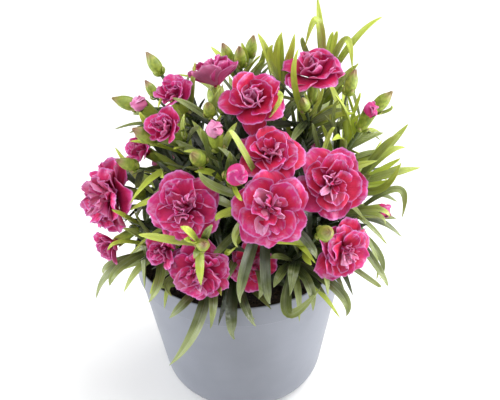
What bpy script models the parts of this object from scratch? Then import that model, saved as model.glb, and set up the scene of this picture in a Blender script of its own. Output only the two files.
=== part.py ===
"""Dianthus plant in its pot: a plastic pot of peat with leafy stems, double blooms and buds.

Lengths in the tables are millimetres, and meshes are made in metres, +Z up. The origin is the
middle of the pot's base. The front of the plant faces -Y.
"""

import math
import random
from dataclasses import dataclass

import bmesh
import bpy
import numpy as np
from mathutils import Matrix, Vector
from mathutils.bvhtree import BVHTree

MM = 0.001
GAP = 0.35  # between solids that meet
LEAST_GAP = 0.3  # between any two solids

# Pot, turned from a thin plastic wall.
RIM_R = 60.0
POT_H = 90.0
BAND_H = 13.0
BAND_BOTTOM_R = 59.0
BODY_TOP_R = 57.8
BODY_LOW_R = 46.4
CORNER_H = 14.0
FOOT_R = 33.0
WALL = 1.3
TURN_STEPS = 24
DRAIN_HOLES = 4
DRAIN_R = 4.0
DRAIN_AT_R = 22.0

# Peat.
SOIL_Z = 80.5
SOIL_RELIEF = 1.6
HOLE_DEPTH = 10.0

# Stems and leaves.
STEM_R = 1.3
TWIG_R = 0.9
CALYX_L = 14.0
BLADE_T = 1.0
ROOT_SPACING = 5.6
STEM_SHARES = (0, 0.35, 0.7, 1)  # where a stem has its rings
TWIG_SHARES = (0, 0.5, 1)
SWAYS = (0, 8, -8, 16, -16)  # how far a stem bows to its side
DOME_AT = np.array((8.0, 4.0, 116.0))
DOME_SIZE = np.array((90.0, 82.0, 100.0))
FRONT_CLEAR = 34.0  # kept free of leaves in front of an open bloom
OWN_TRIALS = 8
PAIR_TRIALS = 10
BLOOM_TRIALS = 12

# Blooms.
PETAL_T = 0.8
FACE_DEPTH = 0.30  # from the calyx mouth to the middle of the face, as a share of the bloom's width


@dataclass(frozen=True)
class Head:
    """A bloom, a bud or a bare tip: its middle, the way it faces (azimuth, elevation) and its width."""

    name: str
    kind: str
    at: tuple
    aim: tuple
    size: float
    fork: float = 0.62  # where a side twig leaves the stem, as a share of the stem's length


@dataclass(frozen=True)
class Leaf:
    """A leaf with a place of its own: its root, as a share of the stem, its middle, tip and width."""

    fork: float
    middle: tuple
    tip: tuple
    width: float


@dataclass(frozen=True)
class Shoot:
    """A stem with its heads, the first of them on the stem's end, its own leaves and its leaf pairs."""

    name: str
    heads: tuple
    pairs: int = 3
    leaves: tuple = ()


SHOOTS = (
    Shoot("front_left", (Head("front_left", "full", (-26, -64, 156), (-6, 28), 34),
                         Head("front_star", "green_bud", (-17, -77, 144), (10, 40), 6.5, 0.7)), 3),
    Shoot("left_side", (Head("left_side", "full", (-71, -28, 142), (-58, 18), 38),
                        Head("left_low", "half", (-68, -42, 119), (-52, -12), 20, 0.5)), 3),
    Shoot("upper_left", (Head("upper_left", "half", (-31, -12, 193), (-40, 62), 21),
                         Head("upper_left", "pink_bud", (-48, -9, 184), (-60, 50), 8.5, 0.7),
                         Head("upper_left_side", "green_bud", (-44, 4, 187), (-100, 60), 5.5, 0.75)), 2),
    Shoot("far_left", (Head("far_left", "green_bud", (-43, 20, 194), (-115, 55), 7.0),
                       Head("far_left_side", "green_bud", (-58, 5, 179), (-85, 25), 7.5, 0.72)), 3),
    Shoot("small_left", (Head("small_left", "half", (-35, -32, 184), (-35, 50), 21),
                         Head("small_left_side", "green_bud", (-46, -28, 178), (-60, 40), 8.0, 0.75)), 2),
    Shoot("back_left", (Head("back_left", "half", (-50, -14, 162), (-60, 45), 20),
                        Head("back_left_side", "green_bud", (-56, -31, 163), (-60, 35), 6.5, 0.6)), 3),
    Shoot("top_left", (Head("top_left", "half", (-11, -1, 198), (-150, 62), 27),
                       Head("top_left_side", "green_bud", (-13, -29, 192), (-10, 60), 6.0, 0.7)), 2),
    Shoot("crown_bud", (Head("crown", "pink_bud", (-10, -42, 186), (-10, 68), 8.5),
                        Head("crown_side", "green_bud", (-19, -49, 176), (-25, 45), 7.5, 0.7),
                        Head("ball", "pink_bud", (0, -66, 176), (10, 34), 11.0, 0.6)), 3),
    Shoot("top_centre", (Head("top_centre", "cup", (9, -28, 198), (0, 55), 30),), 2),
    Shoot("twin_buds", (Head("twin", "green_bud", (3, 11, 201), (-10, 78), 6.5),
                        Head("twin_left", "green_bud", (-4, 16, 201), (-80, 70), 6.0, 0.8),
                        Head("twin_right", "green_bud", (9, 21, 202), (120, 75), 6.0, 0.75)), 2),
    Shoot("top_right", (Head("top_right", "cup", (41, 3, 198), (20, 84), 30),
                        Head("top_right_side", "green_bud", (35, -15, 186), (-20, 55), 6.0, 0.7)), 2),
    Shoot("centre_back", (Head("centre_back", "full", (17, -47, 178), (4, 64), 31),), 2),
    Shoot("centre_front", (Head("centre_front", "full", (16, -72, 160), (0, 24), 36),), 3, (
        Leaf(0.80, (3, -74, 127), (0, -74, 105), 6.8),
        Leaf(0.74, (13, -68, 118), (16, -69, 100), 6.0))),
    Shoot("right_front", (Head("right_front", "full", (48, -50, 160), (16, 30), 35),), 3),
    Shoot("lower_right", (Head("lower_right", "full", (55, -56, 122), (32, 8), 32),), 3),
    Shoot("lower_left", (Head("lower_left", "full", (-21, -67, 119), (-14, 6), 32),
                         Head("under_left", "half", (-39, -57, 127), (-34, 12), 20, 0.5)), 3),
    Shoot("low_centre", (Head("low_centre", "half", (6, -51, 112), (5, 12), 27),), 3),
    Shoot("right_buds", (Head("right", "pink_bud", (69, -10, 177), (60, 66), 8.0),
                         Head("right_far", "green_bud", (78, 8, 174), (95, 48), 7.5, 0.7),
                         Head("right_back", "green_bud", (61, 6, 187), (130, 65), 7.0, 0.7)), 3),
    Shoot("behind", (Head("behind", "full", (6, 66, 134), (178, 28), 35),
                     Head("behind_side", "green_bud", (-14, 62, 152), (-165, 50), 7.0)), 4),
    Shoot("behind_left", (Head("behind_left", "full", (-38, 51, 127), (-142, 32), 33),
                          Head("behind_far_left", "half", (-62, 28, 124), (-112, 20), 24, 0.55)), 4),
    Shoot("behind_right", (Head("behind_right", "full", (43, 55, 121), (145, 30), 34),
                           Head("behind_far_right", "half", (66, 34, 108), (112, 8), 25, 0.5)), 4),
    Shoot("tuft_top", (Head("tuft_top", "tip", (49, 27, 178), (30, 82), 2),), 2, (
        Leaf(1.00, (46, 25, 205), (44, 20, 229), 4.5),
        Leaf(0.97, (64, 26, 202), (79, 28, 214), 4.5),
        Leaf(0.94, (51, 31, 194), (53, 32, 204), 3.8),
        Leaf(0.98, (45, 22, 216), (36, 15, 200), 4.2),
        Leaf(0.93, (58, 22, 204), (62, 13, 190), 4.5),
        Leaf(0.88, (59, 19, 184), (65, 12, 195), 4.2))),
    Shoot("tuft_crown", (Head("tuft_crown", "tip", (25, 13, 182), (10, 82), 2),), 2, (
        Leaf(0.97, (18, 14, 199), (13, 16, 212), 4.2),
        Leaf(0.99, (24, 18, 197), (25, 20, 210), 4.6),
        Leaf(0.96, (29, 16, 197), (32, 18, 209), 4.2),
        Leaf(0.90, (30, 6, 190), (34, 2, 208), 4.0))),
    Shoot("tuft_right", (Head("tuft_right", "tip", (66, -13, 138), (70, 40), 2),), 2, (
        Leaf(1.00, (78, -10, 152), (90, -6, 154), 4.6),
        Leaf(0.96, (74, -20, 160), (84, -22, 171), 4.6),
        Leaf(0.98, (78, -25, 149), (96, -22, 151), 5.4),
        Leaf(0.93, (74, -30, 143), (83, -36, 163), 4.6),
        Leaf(0.90, (80, 2, 148), (93, 8, 160), 4.6))),
    Shoot("tuft_right_low", (Head("right_low", "pink_bud", (74, -31, 130), (75, 12), 8.0),), 2, (
        Leaf(0.92, (78, -35, 124), (85, -38, 108), 4.2),
        Leaf(0.72, (74, -25, 101), (78, -20, 76), 4.0),
        Leaf(0.80, (71, -42, 105), (79, -44, 90), 4.2),
        Leaf(0.97, (84, -24, 139), (86, -30, 124), 4.2))),
    Shoot("tuft_front_right", (Head("tuft_front_right", "tip", (30, -46, 112), (25, 50), 2),
                               Head("front_round", "green_bud", (43, -67, 142), (15, 38), 8.0, 0.9)), 2, (
        Leaf(0.95, (24, -76, 100), (41, -66, 108), 7.0),
        Leaf(0.90, (51, -58, 99), (55, -62, 85), 6.5),
        Leaf(0.85, (35, -66, 110), (37, -68, 94), 5.5),
        Leaf(1.00, (27, -70, 122), (25, -68, 104), 6.5))),
    Shoot("tuft_front", (Head("tuft_front", "tip", (-2, -44, 108), (-5, 60), 2),), 2, (
        Leaf(0.86, (-5, -68, 92), (-3, -64, 73), 7.6),
        Leaf(0.80, (2, -66, 98), (8, -67, 84), 5.2))),
    Shoot("tuft_front_left", (Head("tuft_front_left", "tip", (-18, -44, 102), (-30, 50), 2),), 2, (
        Leaf(0.98, (-23, -70, 88), (-40, -62, 54), 7.4),
        Leaf(0.93, (-28, -66, 101), (-38, -66, 90), 5.2),
        Leaf(0.86, (-14, -64, 100), (-16, -68, 84), 5.2))),
    Shoot("tuft_left", (Head("tuft_left", "tip", (-46, -32, 112), (-55, 45), 2),), 3, (
        Leaf(0.93, (-41, -61, 112), (-48, -65, 100), 5.2),
        Leaf(0.88, (-66, -47, 110), (-77, -47, 88), 5.4),
        Leaf(1.00, (-62, -50, 112), (-68, -54, 102), 5.2),
        Leaf(0.80, (-66, -34, 104), (-74, -36, 97), 5.0))),
    Shoot("tuft_back", (Head("tuft_back", "tip", (-18, 50, 118), (-160, 55), 2),), 4),
    Shoot("tuft_back_right", (Head("tuft_back_right", "tip", (28, 52, 122), (155, 55), 2),), 4),
)


def facing(aim):
    """Unit vector of an (azimuth, elevation) in degrees: azimuth 0 is the front, 90 is +X."""
    azimuth, elevation = (math.radians(angle) for angle in aim)
    flat = math.cos(elevation)
    return np.array((math.sin(azimuth) * flat, -math.cos(azimuth) * flat, math.sin(elevation)))


def unit(vector):
    return vector / np.linalg.norm(vector)


def curve_point(controls, t):
    """Point of the Bezier curve through its end controls, by repeated halfway steps."""
    points = [np.asarray(control, float) for control in controls]
    while len(points) > 1:
        points = [a + (b - a) * t for a, b in zip(points, points[1:])]
    return points[0]


def curve_heading(controls, t):
    return unit(curve_point(controls, min(t + 0.02, 1.0)) - curve_point(controls, max(t - 0.02, 0.0)))


def frame_on(axis):
    """Two unit vectors square to the axis and to each other."""
    side = unit(np.cross(axis, (0.31, 0.87, 0.39)))
    return side, np.cross(axis, side)


# ---------------------------------------------------------------- scene and mesh helpers


def clear_scene():
    for obj in list(bpy.data.objects):
        bpy.data.objects.remove(obj, do_unlink=True)


def new_collection(name):
    collection = bpy.data.collections.new(name)
    bpy.context.scene.collection.children.link(collection)
    return collection


def material(name, color, roughness):
    made = bpy.data.materials.new(name)
    made.use_nodes = True
    made.diffuse_color = (*color, 1)
    shader = made.node_tree.nodes["Principled BSDF"]
    shader.inputs["Base Color"].default_value = (*color, 1)
    shader.inputs["Roughness"].default_value = roughness
    return made


def object_from(bm, name, collection, finish=None):
    """A new object, in metres, from a bmesh in millimetres."""
    bmesh.ops.scale(bm, vec=(MM, MM, MM), verts=bm.verts)
    bmesh.ops.recalc_face_normals(bm, faces=bm.faces)
    mesh = bpy.data.meshes.new(name)
    bm.to_mesh(mesh)
    bm.free()
    obj = bpy.data.objects.new(name, mesh)
    collection.objects.link(obj)
    if finish:
        mesh.materials.append(finish)
    return obj


def shade(obj, crease=50):
    obj.data.shade_smooth()
    obj.data.set_sharp_from_angle(angle=math.radians(crease))


def lens(rows, thickness):
    """A thin blade between two skins that meet along its outline.

    Each row runs across the blade. The first and last row and the ends of every row lie on the
    outline, and the other points are split apart by the thickness. Both skins are cut into the
    same triangles, each of them with a point off the outline.
    """
    bm = bmesh.new()
    skins = ([], [])
    inner = set()
    for number, row in enumerate(rows):
        upper = [bm.verts.new(point) for point in row]
        lower = list(upper)
        if 0 < number < len(rows) - 1:
            along = np.mean(rows[number + 1], axis=0) - np.mean(rows[number - 1], axis=0)
            for place in range(1, len(row) - 1):
                lift = unit(np.cross(along, row[place + 1] - row[place - 1])) * thickness / 2
                upper[place].co = row[place] + lift
                lower[place] = bm.verts.new(row[place] - lift)
                inner |= {upper[place], lower[place]}
        skins[0].append(upper)
        skins[1].append(lower)
    for skin in skins:
        for below, above in zip(skin, skin[1:]):
            strip(bm, below, above, inner)
    return bm


def strip(bm, below, above, inner):
    """Triangles between two rows, with every cut between them ending on an inner point."""
    i = j = 0
    last_i, last_j = len(below) - 1, len(above) - 1
    while i < last_i or j < last_j:
        if i == last_i or j == last_j:
            climb = i == last_i
        else:
            can_climb = below[i] in inner or above[j + 1] in inner
            can_cross = above[j] in inner or below[i + 1] in inner
            climb = (j + 1) / last_j <= (i + 1) / last_i if can_climb == can_cross else can_climb
        if climb:
            bm.faces.new((below[i], above[j + 1], above[j]))
            j += 1
        else:
            bm.faces.new((below[i], below[i + 1], above[j]))
            i += 1


def tube(points, radii, name, collection):
    """A stem, calyx or bud: a curve with a round bevel, made a mesh with welded caps."""
    curve = bpy.data.curves.new(name, "CURVE")
    curve.dimensions = "3D"
    curve.bevel_depth = MM
    curve.bevel_resolution = 1
    curve.use_fill_caps = True
    spline = curve.splines.new("POLY")
    spline.points.add(len(points) - 1)
    for knot, point, radius in zip(spline.points, points, radii):
        knot.co = (*(point * MM), 1)
        knot.radius = radius
    guide = bpy.data.objects.new(name, curve)
    collection.objects.link(guide)
    mesh = bpy.data.meshes.new_from_object(guide)
    bpy.data.objects.remove(guide)
    bm = bmesh.new()
    bm.from_mesh(mesh)
    bmesh.ops.remove_doubles(bm, verts=bm.verts, dist=0.02 * MM)
    bmesh.ops.recalc_face_normals(bm, faces=bm.faces)
    bm.to_mesh(mesh)
    bm.free()
    obj = bpy.data.objects.new(name, mesh)
    collection.objects.link(obj)
    return obj


def body_volume(faces):
    """Volume inside a set of triangles, negative for the wall of a hollow."""
    return sum(face.verts[0].co.cross(face.verts[1].co).dot(face.verts[2].co) for face in faces) / 6


def keep_main_body(mesh):
    """Drops the walls of hollows that a union sealed, and loose scraps."""
    bm = bmesh.new()
    bm.from_mesh(mesh)
    bmesh.ops.triangulate(bm, faces=bm.faces)
    left = set(bm.faces)
    bodies = []
    while left:
        grown = [left.pop()]
        for face in grown:
            for edge in face.edges:
                if len(edge.link_faces) != 2:
                    continue
                fresh = [other for other in edge.link_faces if other in left]
                left.difference_update(fresh)
                grown.extend(fresh)
        bodies.append(grown)
    main = max(bodies, key=body_volume)
    spare = [face for grown in bodies if grown is not main for face in grown]
    bmesh.ops.delete(bm, geom=spare, context="FACES")
    bm.to_mesh(mesh)
    bm.free()


def fuse(base, pieces, name, collection, finish):
    """Joins the pieces to the base by one union, and removes them."""
    helpers = bpy.data.collections.new(name + "_pieces")
    bpy.context.scene.collection.children.link(helpers)
    for piece in pieces:
        for owner in list(piece.users_collection):
            owner.objects.unlink(piece)
        helpers.objects.link(piece)
    if pieces:
        union = base.modifiers.new("union", "BOOLEAN")
        union.operation = "UNION"
        union.operand_type = "COLLECTION"
        union.collection = helpers
        union.solver = "EXACT"
    graph = bpy.context.evaluated_depsgraph_get()
    mesh = bpy.data.meshes.new_from_object(base.evaluated_get(graph))
    mesh.name = name
    for piece in [base, *pieces]:
        bpy.data.objects.remove(piece)
    bpy.data.collections.remove(helpers)
    keep_main_body(mesh)
    mesh.materials.clear()
    mesh.materials.append(finish)
    obj = bpy.data.objects.new(name, mesh)
    collection.objects.link(obj)
    shade(obj)
    return obj


# ---------------------------------------------------------------- room between the solids


class Room:
    """The solids placed so far, to test whether a new one stays clear of them."""

    def __init__(self):
        self.owners = []
        self.trees = []
        self.lows = np.empty((0, 3))
        self.highs = np.empty((0, 3))
        self.corners = []

    @staticmethod
    def read(mesh):
        mesh.calc_loop_triangles()
        points = np.array([tuple(vertex.co) for vertex in mesh.vertices]) / MM
        triangles = [tuple(triangle.vertices) for triangle in mesh.loop_triangles]
        return points, triangles

    def add(self, owner, mesh):
        points, triangles = self.read(mesh)
        self.owners.append(owner)
        self.trees.append(BVHTree.FromPolygons([Vector(p) for p in points], triangles))
        self.corners.append(points)
        self.lows = np.vstack((self.lows, points.min(axis=0)))
        self.highs = np.vstack((self.highs, points.max(axis=0)))

    def clear(self, owner, mesh, gap=LEAST_GAP, own=True):
        """True if the mesh stays the gap away from all others, and from its own node's if own is set."""
        points, triangles = self.read(mesh)
        tree = BVHTree.FromPolygons([Vector(p) for p in points], triangles)
        low, high = points.min(axis=0) - gap, points.max(axis=0) + gap
        near = np.all((self.lows < high) & (self.highs > low), axis=1)
        for number in np.nonzero(near)[0]:
            if self.owners[number] == owner and not own:
                continue
            other = self.trees[number]
            if tree.overlap(other):
                return False
            if self.owners[number] == owner:
                continue
            if any(other.find_nearest(Vector(p), gap)[0] is not None for p in points):
                return False
            if any(tree.find_nearest(Vector(p), gap)[0] is not None for p in self.corners[number]):
                return False
        return True


# ---------------------------------------------------------------- pot and peat


def corner(low_r, low_z, foot_r, floor_z, steps):
    """The rounded corner between the wall and the floor, from the wall down."""
    slope = (BODY_TOP_R - BODY_LOW_R) / (POT_H - BAND_H - CORNER_H)
    bend = (low_r - slope * (low_z - floor_z), floor_z)
    return [curve_point(((low_r, low_z), bend, (foot_r, floor_z)), i / steps) for i in range(steps + 1)]


def turned(name, outline, collection, finish):
    """A solid turned about Z from an outline of (radius, height), in millimetres."""
    mesh = bpy.data.meshes.new(name)
    points = [(r * MM, 0, z * MM) for r, z in outline]
    mesh.from_pydata(points, [(i, i + 1) for i in range(len(points) - 1)], [])
    obj = bpy.data.objects.new(name, mesh)
    collection.objects.link(obj)
    mesh.materials.append(finish)
    screw = obj.modifiers.new("turn", "SCREW")
    screw.axis = "Z"
    screw.steps = TURN_STEPS
    screw.render_steps = TURN_STEPS
    screw.use_merge_vertices = True
    screw.merge_threshold = 0.00001
    return obj


def made_real(obj):
    """Applies an object's modifiers."""
    graph = bpy.context.evaluated_depsgraph_get()
    mesh = bpy.data.meshes.new_from_object(obj.evaluated_get(graph))
    obj.modifiers.clear()
    obj.data = mesh
    return obj


def cylinder(at, radius, depth, sides, name, collection):
    bm = bmesh.new()
    bmesh.ops.create_cone(bm, cap_ends=True, segments=sides, radius1=radius, radius2=radius, depth=depth)
    bmesh.ops.translate(bm, verts=bm.verts, vec=at)
    obj = object_from(bm, name, collection)
    obj.hide_render = True
    obj.display_type = "WIRE"
    return obj


def cut(obj, cutters):
    difference = obj.modifiers.new("holes", "BOOLEAN")
    difference.operation = "DIFFERENCE"
    difference.operand_type = "COLLECTION"
    difference.collection = cutters
    difference.solver = "EXACT"


def make_pot(collection, cutters, finish):
    """The thin plastic pot: a smooth wall, a plain band at the rim and a round-cornered foot."""
    floor_z = WALL + 0.3
    inner = corner(BODY_LOW_R - WALL, CORNER_H + 0.4, FOOT_R - 0.8, floor_z, 2)[::-1]
    outline = [(0, floor_z), *inner, (BODY_TOP_R - WALL, POT_H - BAND_H), (RIM_R - WALL, POT_H - 0.7)]
    outline += [(RIM_R - 0.6, POT_H), (RIM_R, POT_H - 0.8), (BAND_BOTTOM_R, POT_H - BAND_H)]
    outline += [(BODY_TOP_R, POT_H - BAND_H - 0.9), *corner(BODY_LOW_R, CORNER_H, FOOT_R, 0, 3), (0, 0)]
    pot = turned("pot", outline, collection, finish)
    for number in range(DRAIN_HOLES):
        angle = math.tau * (number + 0.5) / DRAIN_HOLES
        at = (DRAIN_AT_R * math.cos(angle), DRAIN_AT_R * math.sin(angle), floor_z / 2)
        cylinder(at, DRAIN_R, 4 * WALL, 8, f"drain_{number}", cutters)
    cut(pot, cutters)
    return pot


def make_soil(collection, cutters, finish):
    """The peat that fills the pot, with a rough top."""
    floor_z = WALL + 0.3 + GAP
    side = corner(BODY_LOW_R - WALL - GAP, CORNER_H + 0.4, FOOT_R - 0.8, floor_z, 2)
    top_r = RIM_R - WALL - GAP - 0.185 * (POT_H - SOIL_Z)
    waist = (BODY_TOP_R - WALL - GAP - 0.05, POT_H - BAND_H)
    rings = [(top_r * share, SOIL_Z) for share in (0, 0.4, 0.8, 1)]
    soil = made_real(turned("soil", [*rings, waist, *side, (0, floor_z)], collection, finish))
    rng = random.Random(7)
    for vertex in soil.data.vertices:
        reach = math.hypot(vertex.co.x, vertex.co.y) / MM
        if vertex.co.z > (SOIL_Z - 1) * MM and reach < top_r - 1:
            vertex.co.z += rng.uniform(-1, 1) * SOIL_RELIEF * MM
    cut(soil, cutters)
    return soil


# ---------------------------------------------------------------- blooms


@dataclass(frozen=True)
class Ring:
    """One ring of petals: how many, their length and width as shares of the bloom's width, how far
    they lean out at the base and the tip in degrees, and how high on the core they sit."""

    count: int
    length: float
    width: float
    lean: tuple
    height: float
    large: bool = True


RINGS = {
    "full": (
        Ring(5, 0.54, 0.58, (58, 102), 0.06),
        Ring(4, 0.43, 0.52, (46, 86), 0.15, False),
    ),
    "cup": (
        Ring(5, 0.56, 0.56, (52, 96), 0.06),
        Ring(3, 0.46, 0.60, (24, 34), 0.12, False),
        Ring(3, 0.36, 0.40, (4, -8), 0.18, False),
    ),
    "half": (
        Ring(4, 0.60, 0.60, (34, 66), 0.06),
        Ring(3, 0.46, 0.40, (12, 34), 0.16, False),
    ),
}


def petal_point(ring, size, u, v, wave):
    """A point of a petal in its bloom's frame: +X out, +Z along the bloom. u runs across, v along."""
    reach = v * (1 - 0.14 * u * u)
    steps = 8
    out = up = 0.0
    for step in range(steps):
        share = (step + 0.5) / steps * reach
        lean = math.radians(ring.lean[0] + (ring.lean[1] - ring.lean[0]) * share**0.75)
        out += math.sin(lean) * reach / steps
        up += math.cos(lean) * reach / steps
    spread = 0.10 + 0.90 * math.sin(min(v / 0.76, 1) * math.pi / 2) ** 1.7 - 1.2 * max(v - 0.76, 0)
    across = u * spread * ring.width * size / 2
    cup = 0.10 * size * u * u * v
    ripple = 0.035 * size * math.sin(2.6 * u + wave) * v * v
    lift = cup + ripple
    tilt = math.radians(ring.lean[0] + (ring.lean[1] - ring.lean[0]) * reach**0.75)
    x = 0.035 * size + ring.length * size * out - math.cos(tilt) * lift
    z = ring.height * size + ring.length * size * up + math.sin(tilt) * lift
    return np.array((x, across, z))


def petal_rows(ring, size, wave):
    """Rows of points of a petal, from its claw to its rounded end."""
    lengths = (0, 0.42, 0.76, 1) if ring.large else (0, 0.6, 1)
    return [[petal_point(ring, size, u, v, wave) for u in ((-1, 0, 1) if v else (0,))] for v in lengths]


def bloom_pieces(head, turn, collection):
    """The core and the petals of a bloom, placed on its calyx."""
    rng = random.Random(f"{head.name}{turn}")
    axis = facing(head.aim)
    foot = np.array(head.at) - axis * head.size * FACE_DEPTH + axis * GAP
    side, other = frame_on(axis)
    place = Matrix((side, other, axis)).transposed().to_4x4()
    place.translation = Vector(foot)
    bm = bmesh.new()
    rise = 0.30 * head.size
    bmesh.ops.create_cone(
        bm, cap_ends=True, segments=6, radius1=2.4, radius2=0.09 * head.size, depth=rise
    )
    bmesh.ops.translate(bm, verts=bm.verts, vec=(0, 0, rise / 2))
    bmesh.ops.transform(bm, matrix=place, verts=bm.verts)
    pieces = [object_from(bm, "core", collection)]
    for ring in RINGS[head.kind]:
        start = rng.uniform(0, 360)
        for number in range(ring.count):
            angle = start + 360 / ring.count * number + rng.uniform(-6, 6)
            pitch = Matrix.Rotation(math.radians(rng.uniform(-5, 5)), 4, "Y")
            roll = Matrix.Rotation(math.radians(rng.uniform(6, 14)), 4, "X")
            spin = Matrix.Rotation(math.radians(angle), 4, "Z")
            bm = lens(petal_rows(ring, head.size * rng.uniform(0.93, 1.04), rng.uniform(0, 6.28)), PETAL_T)
            bmesh.ops.transform(bm, matrix=place @ spin @ pitch @ roll, verts=bm.verts)
            pieces.append(object_from(bm, "petal", collection))
    return pieces


def bud_tip(head, collection):
    """The pink petals that show in the mouth of an opening bud: a blunt egg with a flat foot."""
    axis = facing(head.aim)
    side, other = frame_on(axis)
    place = Matrix((side, other, axis)).transposed().to_4x4()
    place.translation = Vector(np.array(head.at) + axis * GAP)
    bm = bmesh.new()
    bmesh.ops.create_uvsphere(bm, u_segments=6, v_segments=5, radius=1)
    width = 0.46 * head.size
    bmesh.ops.scale(bm, verts=bm.verts, vec=(width, width, 0.8 * head.size))
    bmesh.ops.transform(bm, matrix=place, verts=bm.verts)
    cut_plane = bmesh.ops.bisect_plane(
        bm, geom=[*bm.verts, *bm.edges, *bm.faces], plane_co=place.translation, plane_no=Vector(axis),
        clear_inner=True,
    )
    rim = [edge for edge in cut_plane["geom_cut"] if isinstance(edge, bmesh.types.BMEdge)]
    bmesh.ops.contextual_create(bm, geom=rim)
    return object_from(bm, "tip", collection)


# ---------------------------------------------------------------- stems and leaves


def head_foot(head):
    """Where a head's calyx or bud begins and ends, from the stem outwards."""
    axis = facing(head.aim)
    at = np.array(head.at)
    if head.kind in RINGS:
        mouth = at - axis * head.size * FACE_DEPTH
        return mouth - axis * CALYX_L * (0.75 + head.size / 140), mouth
    if head.kind == "pink_bud":
        return at - axis * head.size * 1.5, at
    if head.kind == "green_bud":
        return at - axis * head.size, at + axis * head.size
    return at - axis * head.size, at


def head_profile(head):
    """Shares along a calyx or bud, and the radius at each."""
    if head.kind in RINGS:
        return ((0.0, 1.5), (0.45, 2.6), (1.0, 2.9 + head.size / 60))
    if head.kind == "pink_bud":
        return ((0.0, 1.0), (0.35, 0.44 * head.size), (1.0, 0.5 * head.size))
    if head.kind == "green_bud":
        return ((0.0, 1.0), (0.35, 0.48 * head.size), (0.75, 0.38 * head.size), (1.0, 0.08 * head.size))
    return ((0.0, 1.0), (1.0, 0.5))


def stem_controls(root, head, sway):
    """Controls of a stem's curve, from the peat to the foot of its head, bowed to its side by the sway."""
    foot, _ = head_foot(head)
    start = np.array((*root, SOIL_Z + SOIL_RELIEF + 0.6))
    reach = np.linalg.norm(foot - start)
    lift = np.array((0.10 * (foot[0] - start[0]), 0.10 * (foot[1] - start[1]), 0.5 * (foot[2] - start[2])))
    bow = sway * unit(np.cross(foot - start, (0.2, 0.1, 1)))
    return start, start + lift + bow, foot - facing(head.aim) * 0.32 * reach + bow * 0.5, foot


def twig_controls(stem, head):
    """Controls of a side twig's curve, from its fork on the stem to the foot of its head."""
    foot, _ = head_foot(head)
    start = on_stem(stem, head.fork)
    reach = np.linalg.norm(foot - start)
    along = curve_heading(stem, head.fork)
    return start, start + along * 0.35 * reach, foot - facing(head.aim) * 0.3 * reach, foot


def on_stem(controls, share):
    """A point on the straight runs between a stem's rings, so that what starts there is rooted in it."""
    above = next(knot for knot in STEM_SHARES if knot >= share)
    below = STEM_SHARES[max(STEM_SHARES.index(above) - 1, 0)]
    part = (share - below) / (above - below) if above > below else 0
    low, high = curve_point(controls, below), curve_point(controls, above)
    return low + (high - low) * part


def stalk(controls, shares, radius, head, below, name, collection):
    """A stem or twig with the calyx or bud that ends it, as one tube."""
    points = [curve_point(controls, share) for share in shares]
    radii = [radius * (1 - 0.25 * share) for share in shares]
    if below is not None:
        points.insert(0, below)
        radii.insert(0, radius)
    foot, end = head_foot(head)
    points.pop()
    radii.pop()
    for share, thick in head_profile(head):
        points.append(foot + (end - foot) * share)
        radii.append(thick)
    return tube(points, radii, name, collection)


def root_places(shoot):
    """Places in the peat to try for a shoot's root, nearest to its own side first."""
    head = np.array(shoot.heads[0].at)
    angle = math.atan2(head[1], head[0])
    reach = min(0.46 * math.hypot(head[0], head[1]), 36)
    for sway in SWAYS:
        for push in (0, 5, -5, 10, -10):
            for turn in (0, 9, -9, 18, -18, 28, -28, 40, -40):
                far = max(reach + push, 3)
                turned = angle + math.radians(turn)
                yield (far * math.cos(turned), far * math.sin(turned)), sway


@dataclass(frozen=True)
class Blade:
    """A leaf's arch: three curve controls, its width and the way its inner face looks. A long one
    has one more row of points."""

    controls: tuple
    width: float
    face: np.ndarray
    long: bool = False


def own_blade(shoot, stem, number, trial):
    """A leaf that has a place of its own, nudged a little more on each trial."""
    leaf = shoot.leaves[number]
    rng = random.Random(f"{shoot.name} own {number} {trial}")
    nudge = np.array([rng.uniform(-1, 1) for _ in range(6)]).reshape(2, 3) * 0.9 * trial
    start = on_stem(stem, leaf.fork)
    tip = np.array(leaf.tip) + nudge[0]
    middle = np.array(leaf.middle) + nudge[1]
    face = unit(np.array((rng.uniform(-0.4, 0.4), -0.5, 0.85)))
    return Blade((start, 2 * middle - (start + tip) / 2, tip), leaf.width, face, True)


def pair_blade(shoot, stem, pair, side, trial):
    """One leaf of an opposite pair. Each pair is square to the one below, and each trial turns,
    raises and shortens the leaf a little more."""
    rng = random.Random(f"{shoot.name} pair {pair} {side} {trial}")
    fork = 0.10 + 0.76 * (pair + 0.5) / shoot.pairs + rng.uniform(-0.04, 0.04)
    along = curve_heading(stem, fork)
    base_turn = sum(map(ord, shoot.name)) * 37 % 360
    turn = math.radians(base_turn + 90 * pair + 180 * side + rng.uniform(-12, 12) * (1 + trial))
    first, second = frame_on(along)
    out = first * math.cos(turn) + second * math.sin(turn)
    lean = math.radians(rng.uniform(34, 56))
    length = (66 - 26 * fork) * rng.uniform(0.85, 1.1) * (1 - 0.055 * trial)
    heading = along * math.cos(lean) + out * math.sin(lean)
    start = on_stem(stem, fork)
    sag = rng.uniform(0.08, 0.30)
    middle = start + heading * 0.52 * length
    tip = start + unit(heading + 0.35 * out) * 0.96 * length - np.array((0, 0, sag * length))
    control = 2 * middle - (start + tip) / 2
    face = unit(along - 0.5 * out)
    return Blade((start, control, tip), rng.uniform(4.4, 6.4), face)


# Where along a blade its rows lie, and the share of the full width there.
LONG_OUTLINE = ((0.28, 0.86), (0.58, 1.0), (0.82, 0.66))
SHORT_OUTLINE = ((0.34, 0.95), (0.72, 0.86))


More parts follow.
